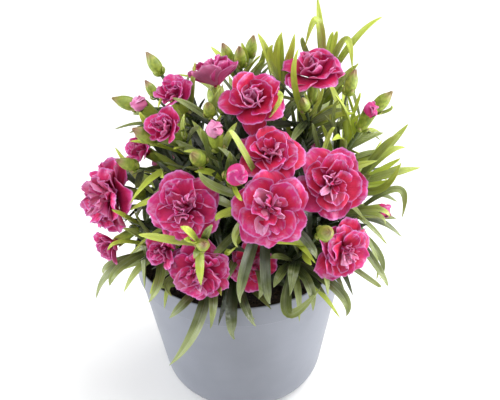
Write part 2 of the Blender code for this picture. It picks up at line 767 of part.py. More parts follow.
def blade_rows(blade, grow=0.0, start=0.0):
    """Rows of a blade: a pointed base, a channelled middle and a pointed tip. grow widens it."""
    rows = []
    outline = LONG_OUTLINE if blade.long else SHORT_OUTLINE
    for t, share in ((start, 0), *outline, (1, 0)):
        point = curve_point(blade.controls, t)
        heading = curve_heading(blade.controls, t)
        if share == 0:
            rows.append([point + heading * grow * (1 if t else 0)])
            continue
        across = unit(np.cross(heading, blade.face)) * (share * blade.width / 2 + grow)
        dip = np.cross(across, heading) * 0.34
        rows.append([point - across, point - dip, point + across])
    return rows


def in_front_of_bloom(point, heads):
    """True where a leaf would hang before the face of an open bloom."""
    for head in heads:
        axis = facing(head.aim)
        away = point - np.array(head.at)
        ahead = away @ axis
        if 1.0 < ahead < FRONT_CLEAR and np.linalg.norm(away - ahead * axis) < 0.46 * head.size:
            return True
    return False


def within_plant(tip):
    away = (tip - DOME_AT) / DOME_SIZE
    return away @ away < 1 and (tip[2] > POT_H - 22 or math.hypot(tip[0], tip[1]) < RIM_R - 8)


def place_blade(shoot, make, trials, room, open_heads, free, collection):
    """The first of a leaf's trials that stays clear of everything, or None."""
    for trial in range(trials):
        blade = make(trial)
        arch = [curve_point(blade.controls, t) for t in (0.4, 0.6, 0.8, 1)]
        if not free and not within_plant(arch[-1]):
            continue
        if not free and any(in_front_of_bloom(point, open_heads) for point in arch):
            continue
        piece = object_from(lens(blade_rows(blade), BLADE_T), "leaf", collection)
        loose = object_from(lens(blade_rows(blade, 0.2, 0.12), BLADE_T + 0.4), "loose", collection)
        clear = room.clear(shoot.name, piece.data, own=False) and room.clear(shoot.name, loose.data)
        bpy.data.objects.remove(loose)
        if clear:
            room.add(shoot.name, piece.data)
            return piece
        bpy.data.objects.remove(piece)
    return None


# ---------------------------------------------------------------- the plant


def grow_heads(room, work, plant, petal_finish):
    """The pink nodes: open blooms, each turned until it clears its neighbours, and bud tips."""
    open_heads = []
    for head in (head for shoot in SHOOTS for head in shoot.heads):
        if head.kind == "pink_bud":
            tip = bud_tip(head, work)
            room.add(f"bud_tip_{head.name}", tip.data)
            fuse(tip, [], f"bud_tip_{head.name}", plant, petal_finish)
        elif head.kind in RINGS:
            name = f"bloom_{head.name}"
            for turn in range(BLOOM_TRIALS):
                pieces = bloom_pieces(head, turn, work)
                if all(room.clear(name, piece.data, own=False) for piece in pieces):
                    break
                for piece in pieces:
                    bpy.data.objects.remove(piece)
            else:
                raise ValueError(f"{name} has no room")
            for piece in pieces:
                room.add(name, piece.data)
            open_heads.append(head)
            fuse(pieces[0], pieces[1:], name, plant, petal_finish)
    return open_heads


def grow_stems(room, work):
    """Each shoot's stem and twigs, from the first root place that clears the rest."""
    stems, stalks, roots = {}, {}, []
    for shoot in SHOOTS:
        leader, *others = shoot.heads
        for root, sway in root_places(shoot):
            if any(math.dist(root, other) < ROOT_SPACING for other in roots):
                continue
            stem = stem_controls(root, leader, sway)
            pieces = [stalk(stem, STEM_SHARES, STEM_R, leader, None, "stem", work)]
            for head in others:
                twig = twig_controls(stem, head)
                pieces.append(stalk(twig, TWIG_SHARES, TWIG_R, head, None, "twig", work))
            if all(room.clear(shoot.name, piece.data) for piece in pieces):
                break
            for piece in pieces:
                bpy.data.objects.remove(piece)
        else:
            raise ValueError(f"{shoot.name} has no room")
        below = np.array((*root, SOIL_Z - HOLE_DEPTH + GAP))
        bpy.data.objects.remove(pieces[0])
        pieces[0] = stalk(stem, STEM_SHARES, STEM_R, leader, below, "stem", work)
        for piece in pieces:
            room.add(shoot.name, piece.data)
        roots.append(root)
        stems[shoot.name] = stem
        stalks[shoot.name] = pieces
    return stems, stalks, roots


def grow_leaves(room, work, stems, open_heads):
    """Leaves with a place of their own first, then the pairs, from the lowest up."""
    leaves = {shoot.name: [] for shoot in SHOOTS}

    def grow(shoot, make, trials, free):
        piece = place_blade(shoot, make, trials, room, open_heads, free, work)
        if piece:
            leaves[shoot.name].append(piece)

    for shoot in SHOOTS:
        stem = stems[shoot.name]
        for number in range(len(shoot.leaves)):
            grow(shoot, lambda trial: own_blade(shoot, stem, number, trial), OWN_TRIALS, True)
    for pair in range(max(shoot.pairs for shoot in SHOOTS)):
        for shoot in (shoot for shoot in SHOOTS if pair < shoot.pairs):
            stem = stems[shoot.name]
            for side in (0, 1):
                grow(shoot, lambda trial: pair_blade(shoot, stem, pair, side, trial), PAIR_TRIALS, False)
    return leaves


def make_plant(plant, cutters, leaf_finish, petal_finish):
    """Blooms first, then stems between them, then leaves in the room that is left."""
    room = Room()
    work = new_collection("work")
    graph = bpy.context.evaluated_depsgraph_get()
    for name in ("pot", "soil"):
        room.add(name, bpy.data.meshes.new_from_object(bpy.data.objects[name].evaluated_get(graph)))
    open_heads = grow_heads(room, work, plant, petal_finish)
    stems, stalks, roots = grow_stems(room, work)
    leaves = grow_leaves(room, work, stems, open_heads)
    for name, pieces in stalks.items():
        fuse(pieces[0], pieces[1:] + leaves[name], f"shoot_{name}", plant, leaf_finish)
    bpy.data.collections.remove(work)
    hole_r = math.sqrt(2) * (STEM_R + GAP + 0.05)
    for root in roots:
        at = (*root, SOIL_Z + HOLE_DEPTH)
        cylinder(at, hole_r, 4 * HOLE_DEPTH, 4, "stem_hole", cutters)


def main():
    clear_scene()
    plant = new_collection("dianthus_plant")
    drain_cutters = new_collection("drain_cutters")
    stem_cutters = new_collection("stem_cutters")
    make_pot(plant, drain_cutters, material("pot_plastic", (0.30, 0.33, 0.38), 0.42))
    make_soil(plant, stem_cutters, material("peat", (0.035, 0.022, 0.014), 0.95))
    leaf_finish = material("leaf_green", (0.13, 0.22, 0.07), 0.5)
    petal_finish = material("petal_pink", (0.58, 0.03, 0.12), 0.6)
    make_plant(plant, stem_cutters, leaf_finish, petal_finish)
    for name in ("pot", "soil"):
        shade(made_real(bpy.data.objects[name]), 35)
    for cutter in [*drain_cutters.objects, *stem_cutters.objects]:
        bpy.data.objects.remove(cutter)


main()
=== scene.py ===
"""Looks of a dianthus plant in its pot: blooms, buds, leaves, stems, peat and plastic.

Lengths in the tables are millimetres, and meshes are made in metres, +Z up. The origin is the
middle of the pot's base, and the front of the plant faces -Y. Each bloom, shoot, bud tip, the pot
and the peat stands for the solid of the same name. What a solid settled by trial, such as where a
stem is rooted, how it bows and which of its leaves grew, is read back from its own corners.
"""

import logging
import math
import random
from collections.abc import Callable, Iterator
from dataclasses import dataclass, field, replace
from enum import Enum

import bpy
import numpy as np
from mathutils import Euler, Matrix, Vector, noise


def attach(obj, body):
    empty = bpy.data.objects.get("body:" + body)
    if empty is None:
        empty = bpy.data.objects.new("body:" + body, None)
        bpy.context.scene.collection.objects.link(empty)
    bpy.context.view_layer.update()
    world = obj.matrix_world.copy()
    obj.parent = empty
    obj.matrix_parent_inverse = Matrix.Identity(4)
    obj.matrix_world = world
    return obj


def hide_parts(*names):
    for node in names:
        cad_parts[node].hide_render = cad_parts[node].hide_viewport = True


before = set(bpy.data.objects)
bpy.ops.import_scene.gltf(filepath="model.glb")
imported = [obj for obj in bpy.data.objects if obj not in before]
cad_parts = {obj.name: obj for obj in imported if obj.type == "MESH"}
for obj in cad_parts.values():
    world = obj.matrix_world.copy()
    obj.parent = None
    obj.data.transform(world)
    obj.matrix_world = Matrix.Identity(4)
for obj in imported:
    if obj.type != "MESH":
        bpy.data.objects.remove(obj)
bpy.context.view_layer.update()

Array = np.ndarray
Color = tuple[float, float, float]
Triple = tuple[float, float, float]
Range = tuple[float, float]
Material, Piece, Socket = bpy.types.Material, bpy.types.Object, bpy.types.NodeSocket

LOG = logging.getLogger("dianthus")
MM = 0.001
GAP = 0.35  # between solids that touch

# Pot and peat.
RIM_R = 60.0
POT_H = 90.0
BAND_H = 13.0
BAND_BOTTOM_R = 59.0
BODY_TOP_R = 57.8
BODY_LOW_R = 46.4
CORNER_H = 14.0
FOOT_R = 33.0
WALL = 1.3
FLOOR_Z = WALL + 0.3
DRAIN_HOLES = 4
DRAIN_R = 4.0
DRAIN_AT_R = 22.0
SOIL_Z = 80.5
SOIL_RELIEF = 1.6
HOLE_DEPTH = 10.0

# Stems and heads. A stem's lift is its first control's share of the way across, deep and up.
STEM_R = 1.3
TWIG_R = 0.9
TAPER = 0.25
STEM_START_Z = SOIL_Z + SOIL_RELIEF + 0.6
STEM_LIFT = (0.10, 0.10, 0.5)
STEM_SHARES = (0, 0.35, 0.7, 1)  # where a solid's stem has its rings
SWAYS = (0, 8, -8, 16, -16)  # how far a stem may bow
CALYX_L = 14.0
CALYX_SHARE = 0.75  # of that length, for the smallest bloom
CALYX_GROWTH = 140.0  # the bloom's width that adds that length once more
FACE_DEPTH = 0.30  # of a bloom's width, from its calyx to its middle

# How often a leaf or bloom may be tried, and how near a corner counts as the same point.
OWN_TRIALS = 8
PAIR_TRIALS = 10
BLOOM_TRIALS = 12
FILLER_TRIALS = 3
MATCH = 0.15
RING_MATCH = 0.03
FOOT_MATCH = 0.02
STEMS_R = RIM_R - 15  # stems stand in the pot within it

# The finishes of a sprig, by slot.
STEM_SLOT, LEAF_SLOT, BUD_SLOT = range(3)

ODD_WAY = (0.31, 0.87, 0.39)  # along no stem, so that it can be crossed with any
HEADING_STEP = 0.02


class Kind(Enum):
    """What ends a stem or a twig."""

    FULL = "full"
    CUP = "cup"
    HALF = "half"
    PINK_BUD = "pink_bud"
    GREEN_BUD = "green_bud"
    TIP = "tip"


@dataclass(frozen=True)
class Head:
    """A bloom, a bud or a bare tip: its middle, its aim (azimuth, elevation), width and fork."""

    name: str
    kind: Kind
    at: Triple
    aim: tuple[float, float]
    size: float
    fork: float = 0.62


@dataclass(frozen=True)
class Leaf:
    """A leaf with a place of its own: its root, as a share of the stem, middle, tip and width."""

    fork: float
    middle: Triple
    tip: Triple
    width: float


@dataclass(frozen=True)
class Shoot:
    """A stem with its heads, the first of them on the stem's end, its leaf pairs and own leaves."""

    name: str
    heads: tuple[Head, ...]
    pairs: int
    leaves: tuple[Leaf, ...] = ()

    def pair_fork(self, pair: int) -> float:
        """Where a leaf pair grows, as a share of the stem."""
        return 0.10 + 0.76 * (pair + 0.5) / self.pairs


@dataclass(frozen=True)
class Extra:
    """A leaf beside the solid's own.

    It grows on the shoot's stem (0) or one of its twigs, at a share of its length, and has a
    middle, a tip, a width, and a number from 0, dark and grey, to 1, lime, which stands for how
    new its growth is and also for how brightly lit it is painted.
    """

    on: int
    fork: float
    middle: Triple
    tip: Triple
    width: float
    youth: float


FULL, CUP, HALF, PINK_BUD, GREEN_BUD, TIP = Kind
BLOOMS = (FULL, CUP, HALF)

SHOOTS = (
    Shoot("front_left", (
        Head("front_left", FULL, (-26, -64, 156), (-6, 28), 34),
        Head("front_star", GREEN_BUD, (-17, -77, 144), (10, 40), 6.5, 0.7)), 3),
    Shoot("left_side", (
        Head("left_side", FULL, (-71, -28, 142), (-58, 18), 38),
        Head("left_low", HALF, (-68, -42, 119), (-52, -12), 20, 0.5)), 3),
    Shoot("upper_left", (
        Head("upper_left", HALF, (-31, -12, 193), (-40, 62), 21),
        Head("upper_left", PINK_BUD, (-48, -9, 184), (-60, 50), 8.5, 0.7),
        Head("upper_left_side", GREEN_BUD, (-44, 4, 187), (-100, 60), 5.5, 0.75)), 2),
    Shoot("far_left", (
        Head("far_left", GREEN_BUD, (-43, 20, 194), (-115, 55), 7.0),
        Head("far_left_side", GREEN_BUD, (-58, 5, 179), (-85, 25), 7.5, 0.72)), 3),
    Shoot("small_left", (
        Head("small_left", HALF, (-35, -32, 184), (-35, 50), 21),
        Head("small_left_side", GREEN_BUD, (-46, -28, 178), (-60, 40), 8.0, 0.75)), 2),
    Shoot("back_left", (
        Head("back_left", HALF, (-50, -14, 162), (-60, 45), 20),
        Head("back_left_side", GREEN_BUD, (-56, -31, 163), (-60, 35), 6.5, 0.6)), 3),
    Shoot("top_left", (
        Head("top_left", HALF, (-11, -1, 198), (-150, 62), 27),
        Head("top_left_side", GREEN_BUD, (-13, -29, 192), (-10, 60), 6.0, 0.7)), 2),
    Shoot("crown_bud", (
        Head("crown", PINK_BUD, (-10, -42, 186), (-10, 68), 8.5),
        Head("crown_side", GREEN_BUD, (-19, -49, 176), (-25, 45), 7.5, 0.7),
        Head("ball", PINK_BUD, (0, -66, 176), (10, 34), 11.0, 0.6)), 3),
    Shoot("top_centre", (Head("top_centre", CUP, (9, -28, 198), (0, 55), 30),), 2),
    Shoot("twin_buds", (
        Head("twin", GREEN_BUD, (3, 11, 201), (-10, 78), 6.5),
        Head("twin_left", GREEN_BUD, (-4, 16, 201), (-80, 70), 6.0, 0.8),
        Head("twin_right", GREEN_BUD, (9, 21, 202), (120, 75), 6.0, 0.75)), 2),
    Shoot("top_right", (
        Head("top_right", CUP, (41, 3, 198), (20, 84), 30),
        Head("top_right_side", GREEN_BUD, (35, -15, 186), (-20, 55), 6.0, 0.7)), 2),
    Shoot("centre_back", (Head("centre_back", FULL, (17, -47, 178), (4, 64), 31),), 2),
    Shoot("centre_front", (Head("centre_front", FULL, (16, -72, 160), (0, 24), 36),), 3, (
        Leaf(0.8, (3, -74, 127), (0, -74, 105), 6.8),
        Leaf(0.74, (13, -68, 118), (16, -69, 100), 6.0))),
    Shoot("right_front", (Head("right_front", FULL, (48, -50, 160), (16, 30), 35),), 3),
    Shoot("lower_right", (Head("lower_right", FULL, (55, -56, 122), (32, 8), 32),), 3),
    Shoot("lower_left", (
        Head("lower_left", FULL, (-21, -67, 119), (-14, 6), 32),
        Head("under_left", HALF, (-39, -57, 127), (-34, 12), 20, 0.5)), 3),
    Shoot("low_centre", (Head("low_centre", HALF, (6, -51, 112), (5, 12), 27),), 3),
    Shoot("right_buds", (
        Head("right", PINK_BUD, (69, -10, 177), (60, 66), 8.0),
        Head("right_far", GREEN_BUD, (78, 8, 174), (95, 48), 7.5, 0.7),
        Head("right_back", GREEN_BUD, (61, 6, 187), (130, 65), 7.0, 0.7)), 3),
    Shoot("behind", (
        Head("behind", FULL, (6, 66, 134), (178, 28), 35),
        Head("behind_side", GREEN_BUD, (-14, 62, 152), (-165, 50), 7.0)), 4),
    Shoot("behind_left", (
        Head("behind_left", FULL, (-38, 51, 127), (-142, 32), 33),
        Head("behind_far_left", HALF, (-62, 28, 124), (-112, 20), 24, 0.55)), 4),
    Shoot("behind_right", (
        Head("behind_right", FULL, (43, 55, 121), (145, 30), 34),
        Head("behind_far_right", HALF, (66, 34, 108), (112, 8), 25, 0.5)), 4),
    Shoot("tuft_top", (Head("tuft_top", TIP, (49, 27, 178), (30, 82), 2),), 2, (
        Leaf(1.00, (46, 25, 205), (44, 20, 229), 4.5),
        Leaf(0.97, (64, 26, 202), (79, 28, 214), 4.5),
        Leaf(0.94, (51, 31, 194), (53, 32, 204), 3.8),
        Leaf(0.98, (45, 22, 216), (36, 15, 200), 4.2),
        Leaf(0.93, (58, 22, 204), (62, 13, 190), 4.5),
        Leaf(0.88, (59, 19, 184), (65, 12, 195), 4.2))),
    Shoot("tuft_crown", (Head("tuft_crown", TIP, (25, 13, 182), (10, 82), 2),), 2, (
        Leaf(0.97, (18, 14, 199), (13, 16, 212), 4.2),
        Leaf(0.99, (24, 18, 197), (25, 20, 210), 4.6),
        Leaf(0.96, (29, 16, 197), (32, 18, 209), 4.2),
        Leaf(0.9, (30, 6, 190), (34, 2, 208), 4.0))),
    Shoot("tuft_right", (Head("tuft_right", TIP, (66, -13, 138), (70, 40), 2),), 2, (
        Leaf(1.00, (78, -10, 152), (90, -6, 154), 4.6),
        Leaf(0.96, (74, -20, 160), (84, -22, 171), 4.6),
        Leaf(0.98, (78, -25, 149), (96, -22, 151), 5.4),
        Leaf(0.93, (74, -30, 143), (83, -36, 163), 4.6),
        Leaf(0.9, (80, 2, 148), (93, 8, 160), 4.6))),
    Shoot("tuft_right_low", (Head("right_low", PINK_BUD, (74, -31, 130), (75, 12), 8.0),), 2, (
        Leaf(0.92, (78, -35, 124), (85, -38, 108), 4.2),
        Leaf(0.72, (74, -25, 101), (78, -20, 76), 4.0),
        Leaf(0.8, (71, -42, 105), (79, -44, 90), 4.2),
        Leaf(0.97, (84, -24, 139), (86, -30, 124), 4.2))),
    Shoot("tuft_front_right", (
        Head("tuft_front_right", TIP, (30, -46, 112), (25, 50), 2),
        Head("front_round", GREEN_BUD, (43, -67, 142), (15, 38), 8.0, 0.9)), 2, (
        Leaf(0.95, (24, -76, 100), (41, -66, 108), 7.0),
        Leaf(0.9, (51, -58, 99), (55, -62, 85), 6.5),
        Leaf(0.85, (35, -66, 110), (37, -68, 94), 5.5),
        Leaf(1.00, (27, -70, 122), (25, -68, 104), 6.5))),
    Shoot("tuft_front", (Head("tuft_front", TIP, (-2, -44, 108), (-5, 60), 2),), 2, (
        Leaf(0.86, (-5, -68, 92), (-3, -64, 73), 7.6),
        Leaf(0.8, (2, -66, 98), (8, -67, 84), 5.2))),
    Shoot("tuft_front_left", (Head("tuft_front_left", TIP, (-18, -44, 102), (-30, 50), 2),), 2, (
        Leaf(0.98, (-23, -70, 88), (-40, -62, 54), 7.4),
        Leaf(0.93, (-28, -66, 101), (-38, -66, 90), 5.2),
        Leaf(0.86, (-14, -64, 100), (-16, -68, 84), 5.2))),
    Shoot("tuft_left", (Head("tuft_left", TIP, (-46, -32, 112), (-55, 45), 2),), 3, (
        Leaf(0.93, (-41, -61, 112), (-48, -65, 100), 5.2),
        Leaf(0.88, (-66, -47, 110), (-77, -47, 88), 5.4),
        Leaf(1.00, (-62, -50, 112), (-68, -54, 102), 5.2),
        Leaf(0.8, (-66, -34, 104), (-74, -36, 97), 5.0))),
    Shoot("tuft_back", (Head("tuft_back", TIP, (-18, 50, 118), (-160, 55), 2),), 4),
    Shoot("tuft_back_right", (Head("tuft_back_right", TIP, (28, 52, 122), (155, 55), 2),), 4),
)

# Each row has a leaf's stem or twig, fork, middle, tip, width and how new it is, which also paints
# how lit it is.
EXTRA_ROWS = {
    "top_left": (
        (1, 0.76, -21, -23, 190, -31, -25, 197, 3.6, 0.25),
        (1, 0.9, -10, -25, 194, -7, -26, 202, 3.0, 0.5),
        (0, 0.35, -5, -7, 130, -7, -7, 134, 3.0, 0.1),
    ),
    "centre_front": (
        (0, 0.92, 3, -59, 187, -3, -61, 198, 3.9, 0.62),
        (0, 0.92, -8, -62, 166, -18, -63, 177, 4.8, 0.3),
        (0, 0.85, 33, -63, 136, 39, -64, 124, 4.8, 0.08),
        (0, 0.9, -5, -64, 154, -11, -66, 150, 4.2, 0.85),
        (0, 0.8, 0, -62, 143, 0, -66, 134, 3.9, 0.55),
        (0, 0.7, -7, -60, 132, -12, -66, 128, 4.8, 0.18),
        (0, 0.62, -5, -60, 128, -1, -64, 133, 3.0, 0.97),
        (0, 0.6, -6, -54, 129, -9, -58, 119, 3.6, 0.1),
    ),
    "crown_bud": (
        (2, 0.85, -2, -50, 175, -9, -45, 180, 3.6, 0.12),
        (1, 0.59, -15, -38, 178, -17, -39, 187, 2.4, 0.5),
        (2, 0.95, 0, -68, 167, 3, -72, 166, 2.4, 0.85),
        (2, 0.6, 2, -36, 169, -5, -38, 163, 3.0, 0.1),
        (0, 0.87, -10, -34, 172, -12, -35, 178, 4.2, 0.08),
    ),
    "small_left": (
        (0, 0.52, -34, -15, 152, -43, -17, 161, 3.6, 0.55),
        (1, 0.33, -33, -20, 169, -39, -22, 177, 3.0, 0.85),
        (0, 0.65, -25, -15, 157, -30, -17, 168, 2.4, 0.8),
        (0, 0.9, -26, -19, 171, -27, -20, 177, 2.1, 0.75),
        (1, 0.9, -45, -25, 183, -48, -25, 189, 3.0, 0.8),
    ),
    "back_left": (
        (0, 0.92, -42, -7, 145, -49, -8, 143, 3.0, 0.8),
        (1, 0.9, -51, -27, 151, -53, -27, 145, 3.6, 0.1),
        (1, 0.4, -38, -12, 149, -41, -12, 153, 3.0, 0.15),
    ),
    "far_left": (
        (1, 0.19, -35, 12, 177, -39, 11, 184, 2.4, 0.9),
    ),
    "upper_left": (
        (0, 0.95, -25, -4, 184, -25, -4, 196, 2.4, 0.55),
        (0, 0.95, -22, -4, 192, -20, -4, 206, 3.0, 0.62),
        (0, 0.77, -22, -1, 166, -24, -2, 171, 3.0, 0.12),
    ),
    "top_right": (
        (1, 0.4, 30, -15, 198, 32, -17, 218, 3.3, 0.9),
        (1, 0.4, 50, 0, 172, 61, -1, 174, 4.2, 0.35),
        (0, 0.62, 28, 4, 161, 24, 3, 171, 3.0, 0.8),
        (0, 0.7, 37, 5, 160, 38, 4, 169, 3.0, 0.85),
        (1, 0.45, 15, -2, 167, 0, -4, 164, 4.8, 0.15),
        (0, 0.62, 42, 5, 147, 50, 4, 147, 3.6, 0.1),
        (0, 0.65, 34, 5, 158, 34, 4, 168, 3.6, 0.2),
        (0, 0.72, 34, 5, 168, 33, 4, 180, 2.4, 0.35),
        (1, 0.73, 37, -7, 182, 36, -8, 189, 2.1, 0.6),
        (0, 0.65, 31, 5, 164, 30, 4, 175, 2.4, 0.3),
        (1, 0.71, 43, -7, 183, 45, -7, 193, 2.1, 0.8),
    ),
    "tuft_top": (
        (0, 0.85, 58, 26, 174, 64, 25, 187, 4.2, 0.6),
        (0, 0.57, 41, 22, 152, 44, 21, 163, 4.2, 0.45),
        (0, 0.62, 55, 24, 157, 59, 23, 168, 3.6, 0.55),
        (0, 0.87, 51, 27, 172, 54, 26, 179, 3.0, 0.75),
        (0, 0.9, 52, 27, 174, 57, 27, 180, 2.4, 0.85),
        (0, 0.85, 51, 27, 169, 56, 26, 174, 4.8, 0.8),
        (0, 0.95, 38, 28, 196, 37, 28, 203, 3.0, 0.4),
        (0, 0.95, 53, 28, 197, 55, 28, 206, 3.0, 0.9),
        (0, 0.65, 50, 24, 159, 53, 23, 173, 2.4, 0.3),
        (0, 0.72, 46, 26, 162, 49, 25, 169, 2.1, 0.6),
    ),
    "right_buds": (
        (2, 0.24, 60, -6, 165, 64, -7, 175, 4.8, 0.92),
        (2, 0.33, 63, -4, 164, 69, -5, 171, 2.7, 0.9),
        (0, 0.67, 48, -5, 160, 45, -6, 168, 2.4, 0.9),
        (0, 0.6, 72, -5, 148, 81, -6, 153, 3.0, 0.88),
        (2, 0.38, 63, -3, 178, 65, -3, 185, 1.8, 0.85),
        (1, 0.71, 63, 5, 178, 61, 5, 184, 1.8, 0.4),
        (1, 0.9, 81, 7, 169, 83, 7, 172, 1.8, 0.6),
        (0, 0.65, 55, -5, 147, 58, -5, 152, 3.6, 0.3),
        (2, 0.14, 51, -5, 172, 54, -6, 184, 2.1, 0.5),
        (0, 0.7, 53, -5, 164, 58, -6, 172, 2.7, 0.2),
        (0, 0.55, 42, -5, 160, 40, -5, 169, 2.4, 0.3),
        (2, 0.24, 59, -5, 160, 61, -5, 166, 2.4, 0.6),
        (1, 0.4, 63, -1, 162, 65, -2, 167, 2.1, 0.7),
    ),
    "top_centre": (
        (0, 0.85, 20, -42, 200, 21, -45, 210, 4.8, 0.72),
    ),
    "tuft_crown": (
        (0, 0.75, 10, 11, 163, -3, 8, 160, 4.8, 0.3),
        (0, 0.67, 19, 13, 160, 16, 12, 167, 3.0, 0.2),
        (0, 0.95, 19, 14, 196, 20, 14, 206, 4.2, 0.92),
        (0, 0.95, 27, 14, 192, 29, 14, 204, 3.6, 0.72),
        (0, 0.95, 22, 14, 198, 25, 14, 213, 3.9, 0.97),
        (0, 0.95, 28, 14, 195, 32, 14, 212, 3.6, 0.75),
        (0, 0.57, 11, 12, 154, 7, 11, 158, 3.6, 0.1),
    ),
    "tuft_right": (
        (0, 0.95, 76, -13, 144, 86, -14, 152, 3.6, 0.9),
        (0, 0.95, 79, -13, 142, 86, -13, 147, 3.9, 0.6),
        (0, 0.95, 75, -13, 135, 84, -13, 138, 4.2, 0.9),
    ),
    "tuft_right_low": (
        (0, 0.95, 70, -27, 118, 80, -27, 105, 2.7, 0.35),
        (0, 0.5, 67, -40, 135, 76, -44, 130, 3.6, 0.45),
        (0, 0.55, 68, -42, 139, 78, -44, 134, 3.6, 0.5),
        (0, 0.95, 73, -27, 100, 75, -27, 81, 2.1, 0.45),
        (0, 0.62, 43, -18, 111, 39, -19, 104, 3.0, 0.15),
    ),
    "tuft_front_right": (
        (1, 0.55, 27, -62, 134, 18, -67, 137, 4.8, 0.8),
        (1, 0.35, 34, -60, 122, 36, -66, 122, 3.6, 0.95),
        (0, 0.8, 21, -58, 111, 17, -62, 105, 4.8, 0.25),
        (0, 0.9, 21, -58, 122, 15, -60, 123, 3.6, 0.35),
    ),
    "front_left": (
        (1, 0.93, -22, -80, 153, -27, -81, 158, 4.5, 0.8),
        (1, 0.93, -22, -79, 148, -26, -80, 150, 3.6, 0.95),
        (1, 0.93, -15, -78, 151, -12, -79, 157, 3.6, 0.25),
        (1, 0.9, -20, -78, 141, -22, -79, 137, 3.0, 0.4),
        (1, 0.9, -19, -80, 134, -19, -81, 122, 4.5, 0.78),
        (1, 0.9, -37, -72, 145, -48, -74, 149, 4.2, 0.78),
    ),
    "left_side": (
        (1, 0.88, -57, -42, 138, -63, -50, 148, 3.0, 0.85),
        (0, 0.45, -59, -14, 94, -73, -15, 78, 3.9, 0.5),
        (0, 0.95, -50, -15, 123, -51, -15, 114, 4.8, 0.12),
    ),
    "tuft_left": (
        (0, 0.95, -51, -42, 126, -59, -46, 134, 4.2, 0.4),
        (0, 0.95, -59, -48, 127, -67, -56, 127, 3.0, 0.82),
        (0, 0.7, -51, -29, 101, -65, -30, 95, 3.6, 0.45),
        (0, 0.7, -42, -43, 102, -48, -52, 95, 3.6, 0.85),
    ),
    "tuft_front_left": (
        (0, 0.95, -36, -54, 106, -35, -62, 101, 4.2, 0.3),
        (0, 0.95, -27, -43, 86, -30, -44, 81, 3.0, 0.3),
    ),
    "twin_buds": (
        (2, 0.4, 13, 16, 192, 15, 16, 202, 3.6, 0.6),
        (2, 0.47, 5, 17, 187, 5, 17, 191, 3.0, 0.6),
    ),
    "tuft_front": (
        (0, 0.9, 1, -60, 93, 7, -68, 90, 3.0, 0.3),
    ),
    "lower_right": (
        (0, 0.7, 66, -46, 99, 73, -52, 97, 3.0, 0.35),
    ),
    "low_centre": (
        (0, 0.7, -3, -56, 117, -6, -62, 110, 4.2, 0.12),
        (0, 0.8, 11, -60, 112, 9, -66, 101, 5.4, 0.15),
    ),
    "right_front": (
        (0, 0.85, 44, -24, 161, 48, -25, 170, 3.6, 0.25),
        (0, 0.9, 46, -26, 170, 50, -26, 178, 2.7, 0.7),
    ),
}
EXTRAS = {
    name: [Extra(*row[:2], row[2:5], row[5:8], *row[8:]) for row in rows]
    for name, rows in EXTRA_ROWS.items()
}

# How new the solid's own leaves are, from 0, dark and grey, to 1, lime; the numbers also paint
# light and shade, higher where the leaves are painted as lit.
OWN_YOUTHS_AND_LIGHT = {
    "centre_front": 0.06, "tuft_front": 0.11, "tuft_front_left": 0.16, "tuft_front_right": 0.16,
    "tuft_left": 0.25, "tuft_right": 0.62, "tuft_right_low": 0.30, "tuft_top": 0.74,
    "tuft_crown": 0.74,
}
# How much magenta a bloom's crimson has, and how pale a bud's petals are. A bud that isn't named
# has a coolness of 1.
COOL_BLOOMS = {
    "front_left": 0.40, "lower_left": 0.40, "upper_left": 0.8, "small_left": 0.4, "back_left": 0.8,
    "top_left": 0.9, "left_low": 0.7, "left_side": 0.4, "under_left": 0.5, "top_right": 0.3,
    "ball": 1.2,
}
PALE_BUDS = {"upper_left": 0.50, "crown": 0.50}

# ---- directions and curves


def facing(aim: tuple[float, float]) -> Array:
    """The unit vector of a direction.

    Args:
        aim: Its azimuth, 0 at the front and 90 at +X, and its elevation, in degrees.

    Returns:
        The vector.
    """
    azimuth, elevation = (math.radians(angle) for angle in aim)
    flat = math.cos(elevation)
    return np.array((math.sin(azimuth) * flat, -math.cos(azimuth) * flat, math.sin(elevation)))


def unit(vectors: Array) -> Array:
    """The vectors, which run along the last axis, at length 1."""
    return vectors / np.linalg.norm(vectors, axis=-1, keepdims=True)


def curve_point(controls: tuple, t: float) -> Array:
    """Finds a point of a Bezier curve by repeated partway steps.

    Args:
        controls: The curve's controls, of which the two ends are on it.
        t: The place along it, from 0 to 1.

    Returns:
        The point.
    """
    points = [np.asarray(control, float) for control in controls]
    while len(points) > 1:
        points = [a + (b - a) * t for a, b in zip(points, points[1:])]
    return points[0]


def curve_heading(controls: tuple, t: float) -> Array:
    """Unit vector along the curve at t."""
    ahead, behind = min(t + HEADING_STEP, 1.0), max(t - HEADING_STEP, 0.0)
    return unit(curve_point(controls, ahead) - curve_point(controls, behind))


def frame_on(axis: Array) -> tuple[Array, Array]:
    """Two unit vectors square to the axis and to each other."""
    side = unit(np.cross(axis, ODD_WAY))
    return side, np.cross(axis, side)


def round_axis(axis: Array, angle: float) -> Array:
    """The unit vector square to the axis at an angle round it, in radians."""
    side, other = frame_on(axis)
    return side * math.cos(angle) + other * math.sin(angle)


def place_on(axis: Array, at: Array) -> Matrix:
    """The matrix that takes +Z to the axis and the origin to the point."""
    turn = Matrix((*frame_on(axis), axis)).transposed().to_4x4()
    return Matrix.Translation(Vector(at)) @ turn


def moved(points: Array, place: Matrix) -> Array:
    """The points, which run along the last axis, taken through a matrix."""
    matrix = np.array(place)
    return points @ matrix[:3, :3].T + matrix[:3, 3]


def rise(value: Array | float, low: float, high: float) -> Array:
    """A smooth step from 0 at low to 1 at high."""
    share = np.clip((np.asarray(value, float) - low) / (high - low), 0, 1)
    return share * share * (3 - 2 * share)


def rings_about(outline: list, steps: int) -> Array:
    """Turns an outline about Z.

    Args:
        outline: Its points, as radius and height.
        steps: How many points each ring has.

    Returns:
        Rings of points, one for each point of the outline.
    """
    radii, heights = np.hsplit(np.array(outline, float), 2)
    turn = np.arange(steps) * math.tau / steps
    rings = np.broadcast_arrays(radii * np.cos(turn), radii * np.sin(turn), heights)
    return np.stack(rings, axis=-1)


# ---- meshes


